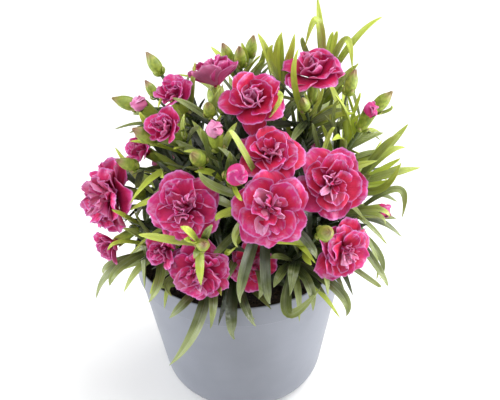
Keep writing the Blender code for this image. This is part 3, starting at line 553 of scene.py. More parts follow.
@dataclass
class Patchwork:
    """Patches gathered into one mesh.

    Each point carries a place on its own patch (across -1 to 1, along 0 to 1, and 1 on the upper
    skin or -1 on the lower) and a tone (three numbers that its finish reads).
    """

    points: list[Array] = field(default_factory=list)
    faces: list[tuple[int, ...]] = field(default_factory=list)
    slots: list[int] = field(default_factory=list)
    places: list[Array] = field(default_factory=list)
    tones: list[Array] = field(default_factory=list)
    count: int = 0

    def add(self, points: Array, faces: Array, places: Array, tone: Triple, slot: int = 0) -> None:
        """Adds one patch.

        Args:
            points: Its points, in millimetres.
            faces: Rows of point numbers.
            places: The place of each point on the patch.
            tone: What the finish reads, alike over the patch.
            slot: The number of its finish.
        """
        self.points.append(points.reshape(-1, 3))
        self.faces.extend(map(tuple, (np.asarray(faces) + self.count).tolist()))
        self.slots.extend([slot] * len(faces))
        self.places.append(places.reshape(-1, 3))
        self.tones.append(np.tile(tone, (len(self.points[-1]), 1)))
        self.count += len(self.points[-1])

    def blade(self, grid: Array, thickness: float, tone: Triple, slot: int = 0) -> None:
        """Adds a thin closed blade with two skins that meet along the outline of the grid.

        Args:
            grid: Rows of points across the blade, from its base to its tip.
            thickness: The blade's thickness in the middle.
            tone: What the finish reads.
            slot: The number of its finish.
        """
        rows, columns = grid.shape[:2]
        across, along = np.meshgrid(np.linspace(-1, 1, columns), np.linspace(0, 1, rows))
        lift = unit(np.cross(np.gradient(grid, axis=1), np.gradient(grid, axis=0))) * thickness / 2
        inner = np.zeros((rows, columns), bool)
        inner[1:-1, 1:-1] = True
        upper = np.arange(rows * columns).reshape(rows, columns)
        lower = upper.copy()
        lower[inner] = rows * columns + np.arange(inner.sum())
        lift[~inner] = 0
        points = np.vstack(((grid + lift).reshape(-1, 3), (grid - lift)[inner]))
        place = np.stack((across, along, inner.astype(float)), axis=-1)
        below = place[inner] * (1, 1, -1)
        upside, underside = (
            np.stack((skin[:-1, :-1], skin[:-1, 1:], skin[1:, 1:], skin[1:, :-1]), axis=-1)
            for skin in (upper, lower)
        )
        faces = np.vstack((upside.reshape(-1, 4), underside.reshape(-1, 4)[:, ::-1]))
        self.add(points, faces, np.vstack((place.reshape(-1, 3), below)), tone, slot)

    def body(self, grid: Array, places: Array, tone: Triple, slot: int = 0,
             flip: bool = False) -> None:
        """Adds a closed body with a flat face over each end.

        Args:
            grid: Its rings of points, from end to end.
            places: The place of each point on the body.
            tone: What the finish reads.
            slot: The number of its finish.
            flip: True if the rings turn the other way round.
        """
        number = np.arange(grid[..., 0].size).reshape(grid.shape[:2])
        after = np.roll(number, -1, axis=1)
        wall = np.stack((number[:-1], after[:-1], after[1:], number[1:]), axis=-1).reshape(-1, 4)
        ends = [number[0, ::-1] + self.count, number[-1] + self.count]
        if flip:
            wall = wall[:, (0, 3, 2, 1)]
            ends = [end[::-1] for end in ends]
        self.add(grid, wall, places, tone, slot)
        self.faces += [tuple(end.tolist()) for end in ends]
        self.slots += [slot, slot]

    def tube(self, path: Array, radii: Array, tone: Triple, slot: int = 0, sides: int = 10,
             fluting: Array | None = None) -> None:
        """Adds a closed round body along a path.

        Args:
            path: The points of its middle line.
            radii: Its radius at each point.
            tone: What the finish reads.
            slot: The number of its finish.
            sides: How many sides it has.
            fluting: Shifts of its points along the path, one for each ring and side.
        """
        heading = unit(np.gradient(path, axis=0))
        side, _ = frame_on(heading[0])
        turn = np.arange(sides) * math.tau / sides
        rings = []
        for point, ahead, radius in zip(path, heading, radii):
            side = unit(side - (side @ ahead) * ahead)
            other = np.cross(ahead, side)
            spokes = np.outer(np.cos(turn), side) + np.outer(np.sin(turn), other)
            rings.append(point + radius * spokes)
        grid = np.array(rings)
        if fluting is not None:
            grid = grid + fluting[:, :, None] * heading[:, None, :]
        along = np.linspace(0, 1, len(path))[:, None]
        place = np.broadcast_arrays(np.cos(turn)[None, :], along, np.ones((1, 1)))
        self.body(grid, np.stack(place, axis=-1), tone, slot)

    def build(self, name: str, finishes: list[Material],
              crease: float = 50) -> Piece:
        """Makes the mesh object.

        Args:
            name: The piece's name.
            finishes: Its materials, in the order of the slots.
            crease: The angle in degrees past which an edge stays sharp.

        Returns:
            The new object, linked to the scene.
        """
        mesh = bpy.data.meshes.new(name)
        mesh.from_pydata((np.vstack(self.points) * MM).tolist(), [], self.faces)
        mesh.polygons.foreach_set("material_index", self.slots)
        for kind, values in (("place", self.places), ("tone", self.tones)):
            layer = mesh.attributes.new(kind, "FLOAT_VECTOR", "POINT")
            layer.data.foreach_set("vector", np.vstack(values).astype(np.float32).ravel())
        for finish in finishes:
            mesh.materials.append(finish)
        mesh.shade_smooth()
        mesh.set_sharp_from_angle(angle=math.radians(crease))
        obj = bpy.data.objects.new(name, mesh)
        bpy.context.scene.collection.objects.link(obj)
        return obj


def hand_in(piece: Piece, node: str) -> Piece:
    """Lets a piece ride on the body and stand for its solid, which it hides.

    Args:
        piece: The finished piece.
        node: The solid that it stands for.

    Returns:
        The same piece.
    """
    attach(piece, "root")
    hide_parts(node)
    LOG.info("%s: %d faces for %s", piece.name, len(piece.data.polygons), node)
    return piece


def corners_of(node: str) -> Array:
    """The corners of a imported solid, in millimetres."""
    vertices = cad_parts[node].data.vertices
    return np.array([vertex.co for vertex in vertices], float) / MM


def touches(solid: Array, point: Array) -> bool:
    """True if the solid has a corner at the point."""
    return bool(np.min(np.linalg.norm(solid - point, axis=1)) < MATCH)


# ---- shader expressions


class Shade:
    """A socket that varies over a surface, for arithmetic in plain expressions."""

    def __init__(self, surface: "Surface", socket: Socket) -> None:
        """Keeps the socket and the surface whose nodes it belongs to."""
        self.surface = surface
        self.socket = socket

    def __add__(self, other: "Shade | float") -> "Shade":
        """Sum."""
        return self.surface.math("ADD", self, other)

    __radd__ = __add__

    def __sub__(self, other: "Shade | float") -> "Shade":
        """Difference."""
        return self.surface.math("SUBTRACT", self, other)

    def __rsub__(self, other: float) -> "Shade":
        """Difference from a number."""
        return self.surface.math("SUBTRACT", other, self)

    def __mul__(self, other: "Shade | float") -> "Shade":
        """Product."""
        return self.surface.math("MULTIPLY", self, other)

    __rmul__ = __mul__

    def __abs__(self) -> "Shade":
        """Distance from zero."""
        return self.surface.math("ABSOLUTE", self)

    def above(self, low: float, high: float) -> "Shade":
        """A smooth step from 0 at low to 1 at high."""
        return self.surface.node("MapRange", {"interpolation_type": "SMOOTHSTEP"},
                                 {"Value": self, "From Min": low, "From Max": high})

    def parts(self) -> tuple["Shade", "Shade", "Shade"]:
        """The three numbers of a vector."""
        split = self.surface.node("SeparateXYZ", {}, {"Vector": self}).socket.node
        return tuple(Shade(self.surface, socket) for socket in split.outputs)


Value, Paint = Shade | float, Shade | Color


class Surface:
    """A material whose nodes are written as expressions."""

    def __init__(self, name: str, roughness: float, **constants: float) -> None:
        """Starts the material.

        Args:
            name: The material's name.
            roughness: The roughness all over the surface.
            **constants: Other sockets of the shader, with _ for a space.
        """
        self.material = bpy.data.materials.new(name)
        self.material.use_nodes = True
        self.tree = self.material.node_tree
        self.shader = self.tree.nodes["Principled BSDF"]
        for key, value in {"Roughness": roughness, **constants}.items():
            self.shader.inputs[key.replace("_", " ")].default_value = value

    def node(self, kind: str, settings: dict, sockets: dict, output: int | str = 0) -> Shade:
        """Adds a node.

        Args:
            kind: The node's type, without its first two words.
            settings: Its settings, which are set first.
            sockets: Values or links of its sockets, by name or number.
            output: The output to read.

        Returns:
            The output as a Shade.
        """
        made = self.tree.nodes.new(f"ShaderNode{kind}")
        for key, value in settings.items():
            setattr(made, key, value)
        for key, value in sockets.items():
            self.feed(made.inputs[key], value)
        return Shade(self, made.outputs[output])

    def feed(self, socket: Socket, value: Value | Color) -> None:
        """Links a Shade to a socket, or sets the socket's own value.

        Args:
            socket: The socket.
            value: What it gets.
        """
        if isinstance(value, Shade):
            self.tree.links.new(value.socket, socket)
        elif socket.type == "RGBA":
            socket.default_value = (*value, 1)
        else:
            socket.default_value = value

    def math(self, operation: str, *values: Value) -> Shade:
        """A Math node on one or more values."""
        return self.node("Math", {"operation": operation}, dict(enumerate(values)))

    def mix(self, share: Value, first: Paint, second: Paint) -> Shade:
        """A colour between two."""
        colors = {0: share, 6: first, 7: second}
        return self.node("Mix", {"data_type": "RGBA"}, colors, 2)

    def layers(self, color: Color, *layers: tuple) -> Shade:
        """Lays colours over one another.

        Args:
            color: The lowest.
            *layers: Each share, a Shade or a number, and the colour that it lays on.

        Returns:
            The colour that shows.
        """
        for share, over in layers:
            color = self.mix(share, color, over)
        return color

    def vector(self, x: Shade, y: Shade, z: Shade) -> Shade:
        """A vector from three values."""
        return self.node("CombineXYZ", {}, {"X": x, "Y": y, "Z": z})

    def noise(self, at: Shade, scale: float, detail: float) -> Shade:
        """Soft noise from 0 to 1."""
        sockets = {"Vector": at, "Scale": scale, "Detail": detail}
        return self.node("TexNoise", {}, sockets)

    def attribute(self, name: str) -> Shade:
        """A vector attribute of the mesh."""
        return self.node("Attribute", {"attribute_name": name}, {}, "Vector")

    def where(self) -> Shade:
        """The place in the object's own coordinates, in metres."""
        return self.node("TexCoord", {}, {}, "Object")

    def bump(self, height: Shade, strength: float, depth: float) -> None:
        """Roughens the surface by a height from 0 to 1, by its strength and its depth in metres."""
        sockets = {"Height": height, "Strength": strength, "Distance": depth}
        self.feed(self.shader.inputs["Normal"], self.node("Bump", {}, sockets))

    def glow_through(self, share: float, color: Color) -> None:
        """Lets some light through the surface.

        Args:
            share: How much of it.
            color: The colour that it takes.
        """
        through = self.node("BsdfTranslucent", {}, {"Color": color})
        shaders = {0: share, 1: Shade(self, self.shader.outputs[0]), 2: through}
        mixed = self.node("MixShader", {}, shaders)
        self.feed(self.tree.nodes["Material Output"].inputs["Surface"], mixed)

    def paint(self, color: Paint) -> Material:
        """Sets the surface's colour and hands over the material."""
        self.feed(self.shader.inputs["Base Color"], color)
        return self.material


# ---- finishes


@dataclass(frozen=True)
class PetalFinish:
    """A crimson face with fine veins, magenta flushes and a thin pale margin, and a pink back."""

    # The deep crimson towards the petals' base: partly their own colour, partly painted shade deep
    # in the bloom.
    depth: Color = (0.250, 0.006, 0.022)
    face: Color = (0.665, 0.026, 0.092)
    flush: Color = (0.570, 0.034, 0.255)
    margin: Color = (0.610, 0.240, 0.560)
    back: Color = (0.570, 0.046, 0.265)
    pale: Color = (0.710, 0.370, 0.620)
    blush: Color = (0.850, 0.480, 0.720)
    glow: Color = (0.85, 0.04, 0.20)
    variety: float = 40.0  # how far apart the petals' patterns are

    def material(self) -> Material:
        """Makes the petals' material.

        Returns:
            The material, which reads a tone of chance, paleness and coolness.
        """
        surface = Surface("petal", 0.50, Specular_IOR_Level=0.22)
        across, along, side = surface.attribute("place").parts()
        chance, paleness, cool = surface.attribute("tone").parts()
        own = chance * self.variety
        cloud = surface.noise(surface.vector(across * 1.1, along * 1.4, own), 1.6, 3)
        fleck = surface.noise(surface.vector(across * 1.6, along * 1.9, own + 9), 2.2, 4)
        grain = surface.noise(surface.vector(across * 13, along * 10, own), 2.0, 2)
        veins = surface.noise(surface.vector(across * 15, along * 0.9, own), 1.5, 1)
        # The rim, where the margin's colours start and end, is uneven from petal to petal.
        rim = surface.math("MAXIMUM", abs(across) * along.above(0.15, 0.5), along)
        uneven = rim + (chance - 0.6) * 0.16 + (cloud - 0.5) * 0.20 + (grain - 0.5) * 0.06
        near_rim = (uneven + cool * 0.08).above(0.70, 0.92)
        # The face: darker towards its base, which is partly its own deep crimson and partly painted
        # shade, veined and mottled, with flushes, then pale speckles with painted glints, and the
        # margin.
        mottle = (grain * 0.6 + fleck * 0.4).above(0.50, 0.62) * 0.26
        # Pale speckles near the rim: partly the petal's own frosted grain, partly painted glints of
        # light.
        frost_and_painted_glints = fleck.above(0.44, 0.72) * near_rim * (0.58 + cool * 0.12 + (grain - 0.5) * 1.1)
        edge = (rim + (cloud - 0.5) * 0.05).above(0.925, 0.975)
        face = surface.layers(
            self.depth,
            (along.above(0.10, 0.66), self.face),
            (veins.above(0.50, 0.75) * 0.30, self.depth),
            (mottle, self.depth),
            (cool * 0.6, self.flush),
            (cloud.above(0.48, 0.70) * 0.30, self.flush),
            (near_rim * (0.60 + (grain - 0.5) * 0.5), self.flush),
            (frost_and_painted_glints, self.pale),
            (edge * 0.85, self.margin),
        )
        # The back: paler towards its end, with the face's crimson in its veins and at its base.
        cloudy = along + (cloud - 0.5) * 1.2 + (grain - 0.5) * 0.3
        color = surface.layers(
            self.back,
            (cloudy.above(0.35, 1.2) * (0.66 - cool * 0.55), self.pale),
            (veins.above(0.40, 0.66) * 0.45, self.face),
            ((1 - along.above(0.15, 0.9)) * 0.40, self.face),
            (rim.above(0.90, 0.98) * 0.55, self.pale),
            (side.above(-0.01, 0.01), face),
            (paleness, self.blush),
        )
        surface.bump(veins + cloud + grain * 0.4, 0.5, 0.0005)
        surface.glow_through(0.20, self.glow)
        return surface.paint(color)


@dataclass(frozen=True)
class LeafFinish:
    """Grey-green older leaves and lime younger ones, with parallel veins and lighter edges; the
    same tones paint shade deep in the plant and light at its top and right.
    """

    # The darkest green is both older leaves' colour and painted shade deep inside the plant; the
    # lime is both younger leaves' colour and painted light at the top and right.
    old: Color = (0.019, 0.029, 0.009)
    grown: Color = (0.260, 0.312, 0.076)
    young: Color = (0.53, 0.63, 0.068)
    wax: Color = (0.46, 0.51, 0.31)
    glow: Color = (0.30, 0.42, 0.03)
    variety: float = 60.0

    def material(self) -> Material:
        """Makes the leaves' material.

        Returns:
            The material, which reads a tone of how new and how lit the leaf is, and of chance.
        """
        surface = Surface("leaf", 0.27, Specular_IOR_Level=0.62)
        across, along, side = surface.attribute("place").parts()
        youth, chance, _ = surface.attribute("tone").parts()
        own = chance * self.variety
        cloud = surface.noise(surface.vector(across * 0.5, along * 5, own), 1.2, 3)
        veins = surface.noise(surface.vector(across * 13, along * 0.8, own), 1.6, 1)
        # Painted light and shade as well as how new the leaf is: brighter at the top and right of
        # the plant, darker deep inside it.
        age_and_shade = youth + (cloud - 0.5) * 0.35 + (along - 0.4) * 0.42
        waxy = age_and_shade.above(-0.12, 0.42) - age_and_shade.above(0.50, 0.95) * 0.65
        ribs = (1 - abs(across).above(0.04, 0.13)) * 0.24 + abs(across).above(0.86, 1.0) * 0.26
        color = surface.layers(
            self.old,
            (age_and_shade.above(0.0, 0.52), self.grown),
            (age_and_shade.above(0.42, 1.0), self.young),
            (veins.above(0.45, 0.75) * waxy * 0.30, self.wax),
            ((1 - veins.above(0.25, 0.50)) * 0.30, self.old),
            (ribs * waxy, self.wax),
            ((1 - side.above(-0.01, 0.01)) * waxy * 0.28, self.wax),
        )
        surface.bump(veins + ribs, 0.4, 0.0004)
        surface.glow_through(0.12, self.glow)
        return surface.paint(color)


@dataclass(frozen=True)
class StemFinish:
    """Green stems with a grey bloom."""

    green: Color = (0.060, 0.085, 0.024)
    grey: Color = (0.16, 0.20, 0.11)

    def material(self) -> Material:
        """Makes the stems' material.

        Returns:
            The material.
        """
        surface = Surface("stem", 0.5)
        streak = surface.noise(surface.where(), 900, 2)
        surface.bump(streak, 0.2, 0.0002)
        return surface.paint(surface.mix(streak.above(0.35, 0.75) * 0.6, self.green, self.grey))


@dataclass(frozen=True)
class BudFinish:
    """Yellow-green calyxes and buds, ribbed, with brown-pink tips."""

    green: Color = (0.20, 0.27, 0.035)
    lime: Color = (0.42, 0.50, 0.070)
    blush: Color = (0.30, 0.13, 0.10)
    glow: Color = (0.40, 0.50, 0.05)
    variety: float = 50.0

    def material(self) -> Material:
        """Makes the buds' material.

        Returns:
            The material, which reads a tone of chance and blush.
        """
        surface = Surface("bud", 0.42)
        across, along, _ = surface.attribute("place").parts()
        chance, blush, _ = surface.attribute("tone").parts()
        own = chance * self.variety
        cloud = surface.noise(surface.vector(across, along * 3, own), 2.2, 3)
        ribs = surface.noise(surface.vector(across * 9, along * 0.6, own), 1.8, 1)
        tip = (along + (cloud - 0.5) * 0.5).above(0.62, 1.0)
        color = surface.layers(
            self.green,
            (cloud.above(0.35, 0.7), self.lime),
            (ribs.above(0.5, 0.8) * 0.4, self.green),
            (tip * blush, self.blush),
        )
        surface.bump(ribs, 0.4, 0.0004)
        surface.glow_through(0.12, self.glow)
        return surface.paint(color)


@dataclass(frozen=True)
class PotFinish:
    """Matt blue-grey plastic outside, and near-black inside: partly dark plastic, partly painted
    shade.
    """

    outer: Color = (0.190, 0.203, 0.240)
    # The inside is near-black, partly its own dark plastic and partly painted shade down the wall.
    inner: Color = (0.010, 0.011, 0.014)
    wear: float = 0.88

    def material(self, inside: bool) -> Material:
        """Makes the pot's material.

        Args:
            inside: True for its inside, False for its outside.

        Returns:
            The material.
        """
        surface = Surface("pot_inside" if inside else "pot_outside", 0.5 if inside else 0.46)
        grain = surface.noise(surface.where(), 1500, 2)
        cloud = surface.noise(surface.where(), 30, 3)
        surface.bump(grain, 0.12, 0.0002)
        color = self.inner if inside else self.outer
        worn = tuple(part * self.wear for part in color)
        return surface.paint(surface.mix(cloud.above(0.35, 0.7), color, worn))


@dataclass(frozen=True)
class PeatFinish:
    """Dark, fibrous peat."""

    dark: Color = (0.010, 0.006, 0.004)
    brown: Color = (0.060, 0.034, 0.018)

    def material(self) -> Material:
        """Makes the peat's material.

        Returns:
            The material.
        """
        surface = Surface("peat", 0.95)
        crumbs = surface.noise(surface.where(), 700, 4)
        surface.bump(crumbs, 0.8, 0.0008)
        return surface.paint(surface.mix(crumbs.above(0.38, 0.72), self.dark, self.brown))


# ---- blooms


@dataclass(frozen=True)
class Ring:
    """One ring of petals: how many, their length and width as shares of the bloom's width, how far
    they lean out at the base and the tip in degrees, how high on the core they sit, and how far
    from its axis."""

    count: int
    length: float
    width: float
    lean: Range
    height: float
    reach: float = 0.035


RINGS = {
    FULL: (Ring(5, 0.54, 0.58, (58, 102), 0.06), Ring(4, 0.43, 0.52, (46, 86), 0.15)),
    CUP: (
        Ring(5, 0.56, 0.56, (52, 96), 0.06),
        Ring(3, 0.46, 0.60, (24, 34), 0.12),
        Ring(3, 0.36, 0.40, (4, -8), 0.18),
    ),
    HALF: (Ring(4, 0.60, 0.60, (34, 66), 0.06), Ring(3, 0.46, 0.40, (12, 34), 0.16)),
}


@dataclass(frozen=True)
class Petal:
    """One petal: its ring, the bloom's width as it counts for it, and how it is turned and shaped.

    The wave shifts its ripples. The ruffle and the teeth are the depth of its frill and notches,
    and the folds are how far its left and right sides turn up, in radians.
    """

    ring: Ring
    size: float
    wave: float
    turn: float
    pitch: float
    roll: float
    ruffle: float = 0.0
    teeth: float = 0.0
    folds: Range = (0.0, 0.0)
    curl: float = 0.0
    paleness: float = 0.0
    thickness: float = 0.5
    rows: int = 14
    columns: int = 23
    claw: float = 0.10  # the width at the base, as a share of the whole
    widest: float = 0.76  # where it is widest, as a share of its length

    @property
    def place(self) -> Matrix:
        """The matrix that sets the petal round its bloom's axis: its spin, pitch and roll."""
        angles = np.radians((self.roll, self.pitch, self.turn))
        return Euler(angles, "XYZ").to_matrix().to_4x4()

    def leaning(self, share: Array) -> Array:
        """How far the petal leans out at shares of its length, in radians."""
        start, end = self.ring.lean
        return np.radians(start + (end - start) * share**0.75 + self.curl * rise(share, 0.55, 1.0))

    def tip(self) -> Array:
        """The middle of the petal's end, in its bloom's frame, as its solid has it."""
        plain = replace(self, curl=0.0, ruffle=0.0, teeth=0.0, folds=(0.0, 0.0), columns=3, rows=2)
        return moved(plain.grid()[-1, 1], self.place)

    def grid(self) -> Array:
        """Shapes the petal.

        Returns:
            Rows of points from the claw to the rounded end, +X out and +Z along the bloom.
        """
        across, along = np.meshgrid(np.linspace(-1, 1, self.columns), np.linspace(0, 1, self.rows))
        wave, size = self.wave, self.size
        # How far along its middle line each point lies, with the rounded, notched end.
        notches = np.sin(8 * across + 7 * wave) + 0.7 * np.sin(23 * across + 4 * wave)
        rounding = 0.14 if self.columns == 3 else 0.20
        reach = along * (1 - rounding * np.abs(across) ** 2.4) + self.teeth * notches * along**8
        # The middle line, summed up in fine steps.
        fine = np.linspace(0, 1, 65)
        lean = self.leaning(fine)
        middle, steps = (lean[1:] + lean[:-1]) / 2, np.diff(fine)
        out, up = (np.interp(reach, fine, np.concatenate(([0], np.cumsum(part(middle) * steps))))
                   for part in (np.sin, np.cos))
        # The cross-sections: cupped, folded, then waved and frilled towards the end.
        spread = np.sin(np.minimum(along / self.widest, 1) * math.pi / 2) ** 1.5
        spread = self.claw + (1 - self.claw) * spread - 0.85 * np.maximum(along - self.widest, 0)
        half = spread[:, :1] * self.ring.width * size / 2
        left, right = self.folds
        fold = np.where(across < 0, left, right) * rise(np.abs(across), 0.30, 0.62)
        bend = 0.42 * np.abs(across) * along + fold * rise(along, 0.15, 0.6)
        width, lift = cross_section(bend, half)
        frill = np.sin(5.0 * across + 3 * wave) + 0.45 * np.sin(11 * across + 5 * wave)
        lift = lift + 0.035 * size * np.sin(2.6 * across + wave) * along**2
        lift = lift + self.ruffle * size * frill * along**2.2
        tilt, length = self.leaning(reach), self.ring.length * size
        x = self.ring.reach * size + length * out - np.cos(tilt) * lift
        z = self.ring.height * size + length * up + np.sin(tilt) * lift
        return np.stack((x, width, z), axis=-1)

    def lay(self, patches: Patchwork, place: Matrix, chance: float, cool: float) -> None:
        """Adds the petal to its bloom's patches.

        Args:
            patches: Where it goes.
            place: The matrix from its bloom's frame to the plant's.
            chance: What sets its pattern apart.
            cool: How much magenta it has.
        """
        grid = moved(moved(self.grid(), self.place), place)
        patches.blade(grid[:, ::-1], self.thickness, (chance, self.paleness, cool))


def cross_section(bend: Array, half: Array) -> tuple[Array, Array]:
    """A blade's cross-sections, walked outwards from the middle.

    Args:
        bend: The slope in radians at each point of each row, up towards the edges.
        half: Half of each row's width.

    Returns:
        How far across each point lies, and how far it lifts.
    """
    middle = bend.shape[1] // 2
    slope = (bend[:, 1:] + bend[:, :-1]) / 2
    step = 2 / (bend.shape[1] - 1)
    walked = []
    for part, sign in ((np.cos, -1), (np.sin, 1)):
        sums = np.zeros_like(bend)
        sums[:, middle + 1:] = np.cumsum(part(slope[:, middle:]), axis=1)
        sums[:, :middle] = sign * np.cumsum(part(slope[:, :middle][:, ::-1]), axis=1)[:, ::-1]
        walked.append(sums * step * half)
    return walked[0], walked[1]


class Fullness(Enum):
    """How a bloom is filled inside its large petals: rings of small petals, from the outside in."""

    OPEN = (
        Ring(4, 0.42, 0.46, (56, 92), 0.12),
        Ring(3, 0.31, 0.34, (34, 66), 0.20),
        Ring(2, 0.24, 0.20, (16, 52), 0.23),
        Ring(9, 0.19, 0.10, (2, 60), 0.24),
    )
    ROSETTE = (
        Ring(5, 0.46, 0.46, (52, 88), 0.11),
        Ring(5, 0.34, 0.34, (36, 66), 0.19),
        Ring(5, 0.26, 0.22, (10, 40), 0.23),
        Ring(8, 0.21, 0.11, (0, 40), 0.24),
    )
    CUP = (Ring(3, 0.50, 0.50, (44, 62), 0.09), Ring(2, 0.34, 0.34, (0, -24), 0.18))
    HALF = (
        Ring(4, 0.50, 0.44, (26, 54), 0.10),
        Ring(3, 0.38, 0.34, (8, 22), 0.16),
        Ring(3, 0.32, 0.18, (0, 14), 0.18),
    )


USUAL = {FULL: Fullness.OPEN, CUP: Fullness.CUP, HALF: Fullness.HALF}
ROSETTES = ("front_left", "low_centre", "left_side", "lower_left")
RUFFLES = {
    Fullness.OPEN: (0.010, 0.022),
    Fullness.ROSETTE: (0.022, 0.040),
    Fullness.CUP: (0.010, 0.020),
    Fullness.HALF: (0.016, 0.032),
}


@dataclass(frozen=True)
class Accent:
    """One small petal with a place of its own.

    The clock is degrees from the top, clockwise for someone who looks into the bloom. Then come its
    length and width as shares of the bloom's width, how far it leans out at the base and the tip,
    how high it sits, how far its left and right sides fold in, and how pale it is.
    """

    clock: float
    length: float
    width: float
    lean: Range
    height: float
    folds: Range = (0.0, 0.0)
    paleness: float = 0.0


ACCENT_ROWS = {
    "centre_front": (
        (322, 0.4, 0.34, (30, 62), 0.14, (0.2, 2.3), 0.35),
        (205, 0.36, 0.3, (52, 80), 0.18, (0.2, 2.2), 0.45),
        (160, 0.34, 0.26, (50, 84), 0.17),
        (120, 0.22, 0.1, (30, 70), 0.24, (0.6, 0.6), 0.55),
    ),
    "right_front": (
        (300, 0.34, 0.22, (18, 40), 0.16, (1.3, 1.3), 0.5),
        (250, 0.36, 0.2, (34, 60), 0.2, (1.6, 1.0), 0.55),
        (200, 0.26, 0.12, (40, 76), 0.24, (0.5, 0.5), 0.6),
        (20, 0.42, 0.4, (30, 56), 0.12, (0.0, 0.5)),
    ),
    "lower_right": (
        (225, 0.26, 0.2, (24, 60), 0.2, (0.8, 0.8), 0.65),
        (260, 0.24, 0.1, (20, 50), 0.22, (0.8, 0.8), 0.6),
        (130, 0.24, 0.08, (20, 64), 0.22, (0.3, 0.3), 0.4),
    ),
    "centre_back": (
        (250, 0.46, 0.46, (30, 44), 0.1, (0.0, 0.6)),
        (110, 0.36, 0.22, (8, 26), 0.16, (0.8, 0.8), 0.6),
        (150, 0.34, 0.2, (20, 44), 0.18, (0.8, 0.4), 0.45),
        (40, 0.44, 0.44, (20, 40), 0.12),
    ),
    "top_centre": (
        (180, 0.46, 0.4, (30, 30), 0.1, (0.3, 0.3), 0.25),
        (172, 0.36, 0.36, (20, -34), 0.16, (0.3, 0.3), 0.12),
        (178, 0.52, 0.42, (86, 132), 0.02),
        (250, 0.44, 0.44, (22, 14), 0.12, (0.6, 0.2), 0.2),
    ),
    "top_right": (
        (170, 0.5, 0.56, (44, 66), 0.08),
        (350, 0.46, 0.48, (10, -6), 0.12, (0.2, 0.2), 0.25),
        (120, 0.52, 0.3, (52, 88), 0.08, (0.5, 0.5)),
        (256, 0.54, 0.5, (70, 92), 0.05),
    ),
    "top_left": (
        (50, 0.66, 0.66, (42, 60), 0.03, (0.2, 0.2), 0.3),
        (330, 0.6, 0.5, (50, 72), 0.03, (0.4, 0.6), 0.1),
    ),
    "left_side": (
        (330, 0.46, 0.44, (16, 22), 0.12, (0.5, 0.5), 0.3),
        (150, 0.46, 0.34, (26, 40), 0.12, (1.6, 1.6), 0.35),
        (215, 0.5, 0.36, (34, 60), 0.08, (1.0, 0.3), 0.2),
    ),
    "lower_left": (
        (170, 0.3, 0.16, (40, 70), 0.2, (0.9, 0.9), 0.75),
        (240, 0.46, 0.4, (34, 66), 0.14, (0.2, 1.4), 0.25),
    ),
}
ACCENTS = {name: [Accent(*row) for row in rows] for name, rows in ACCENT_ROWS.items()}


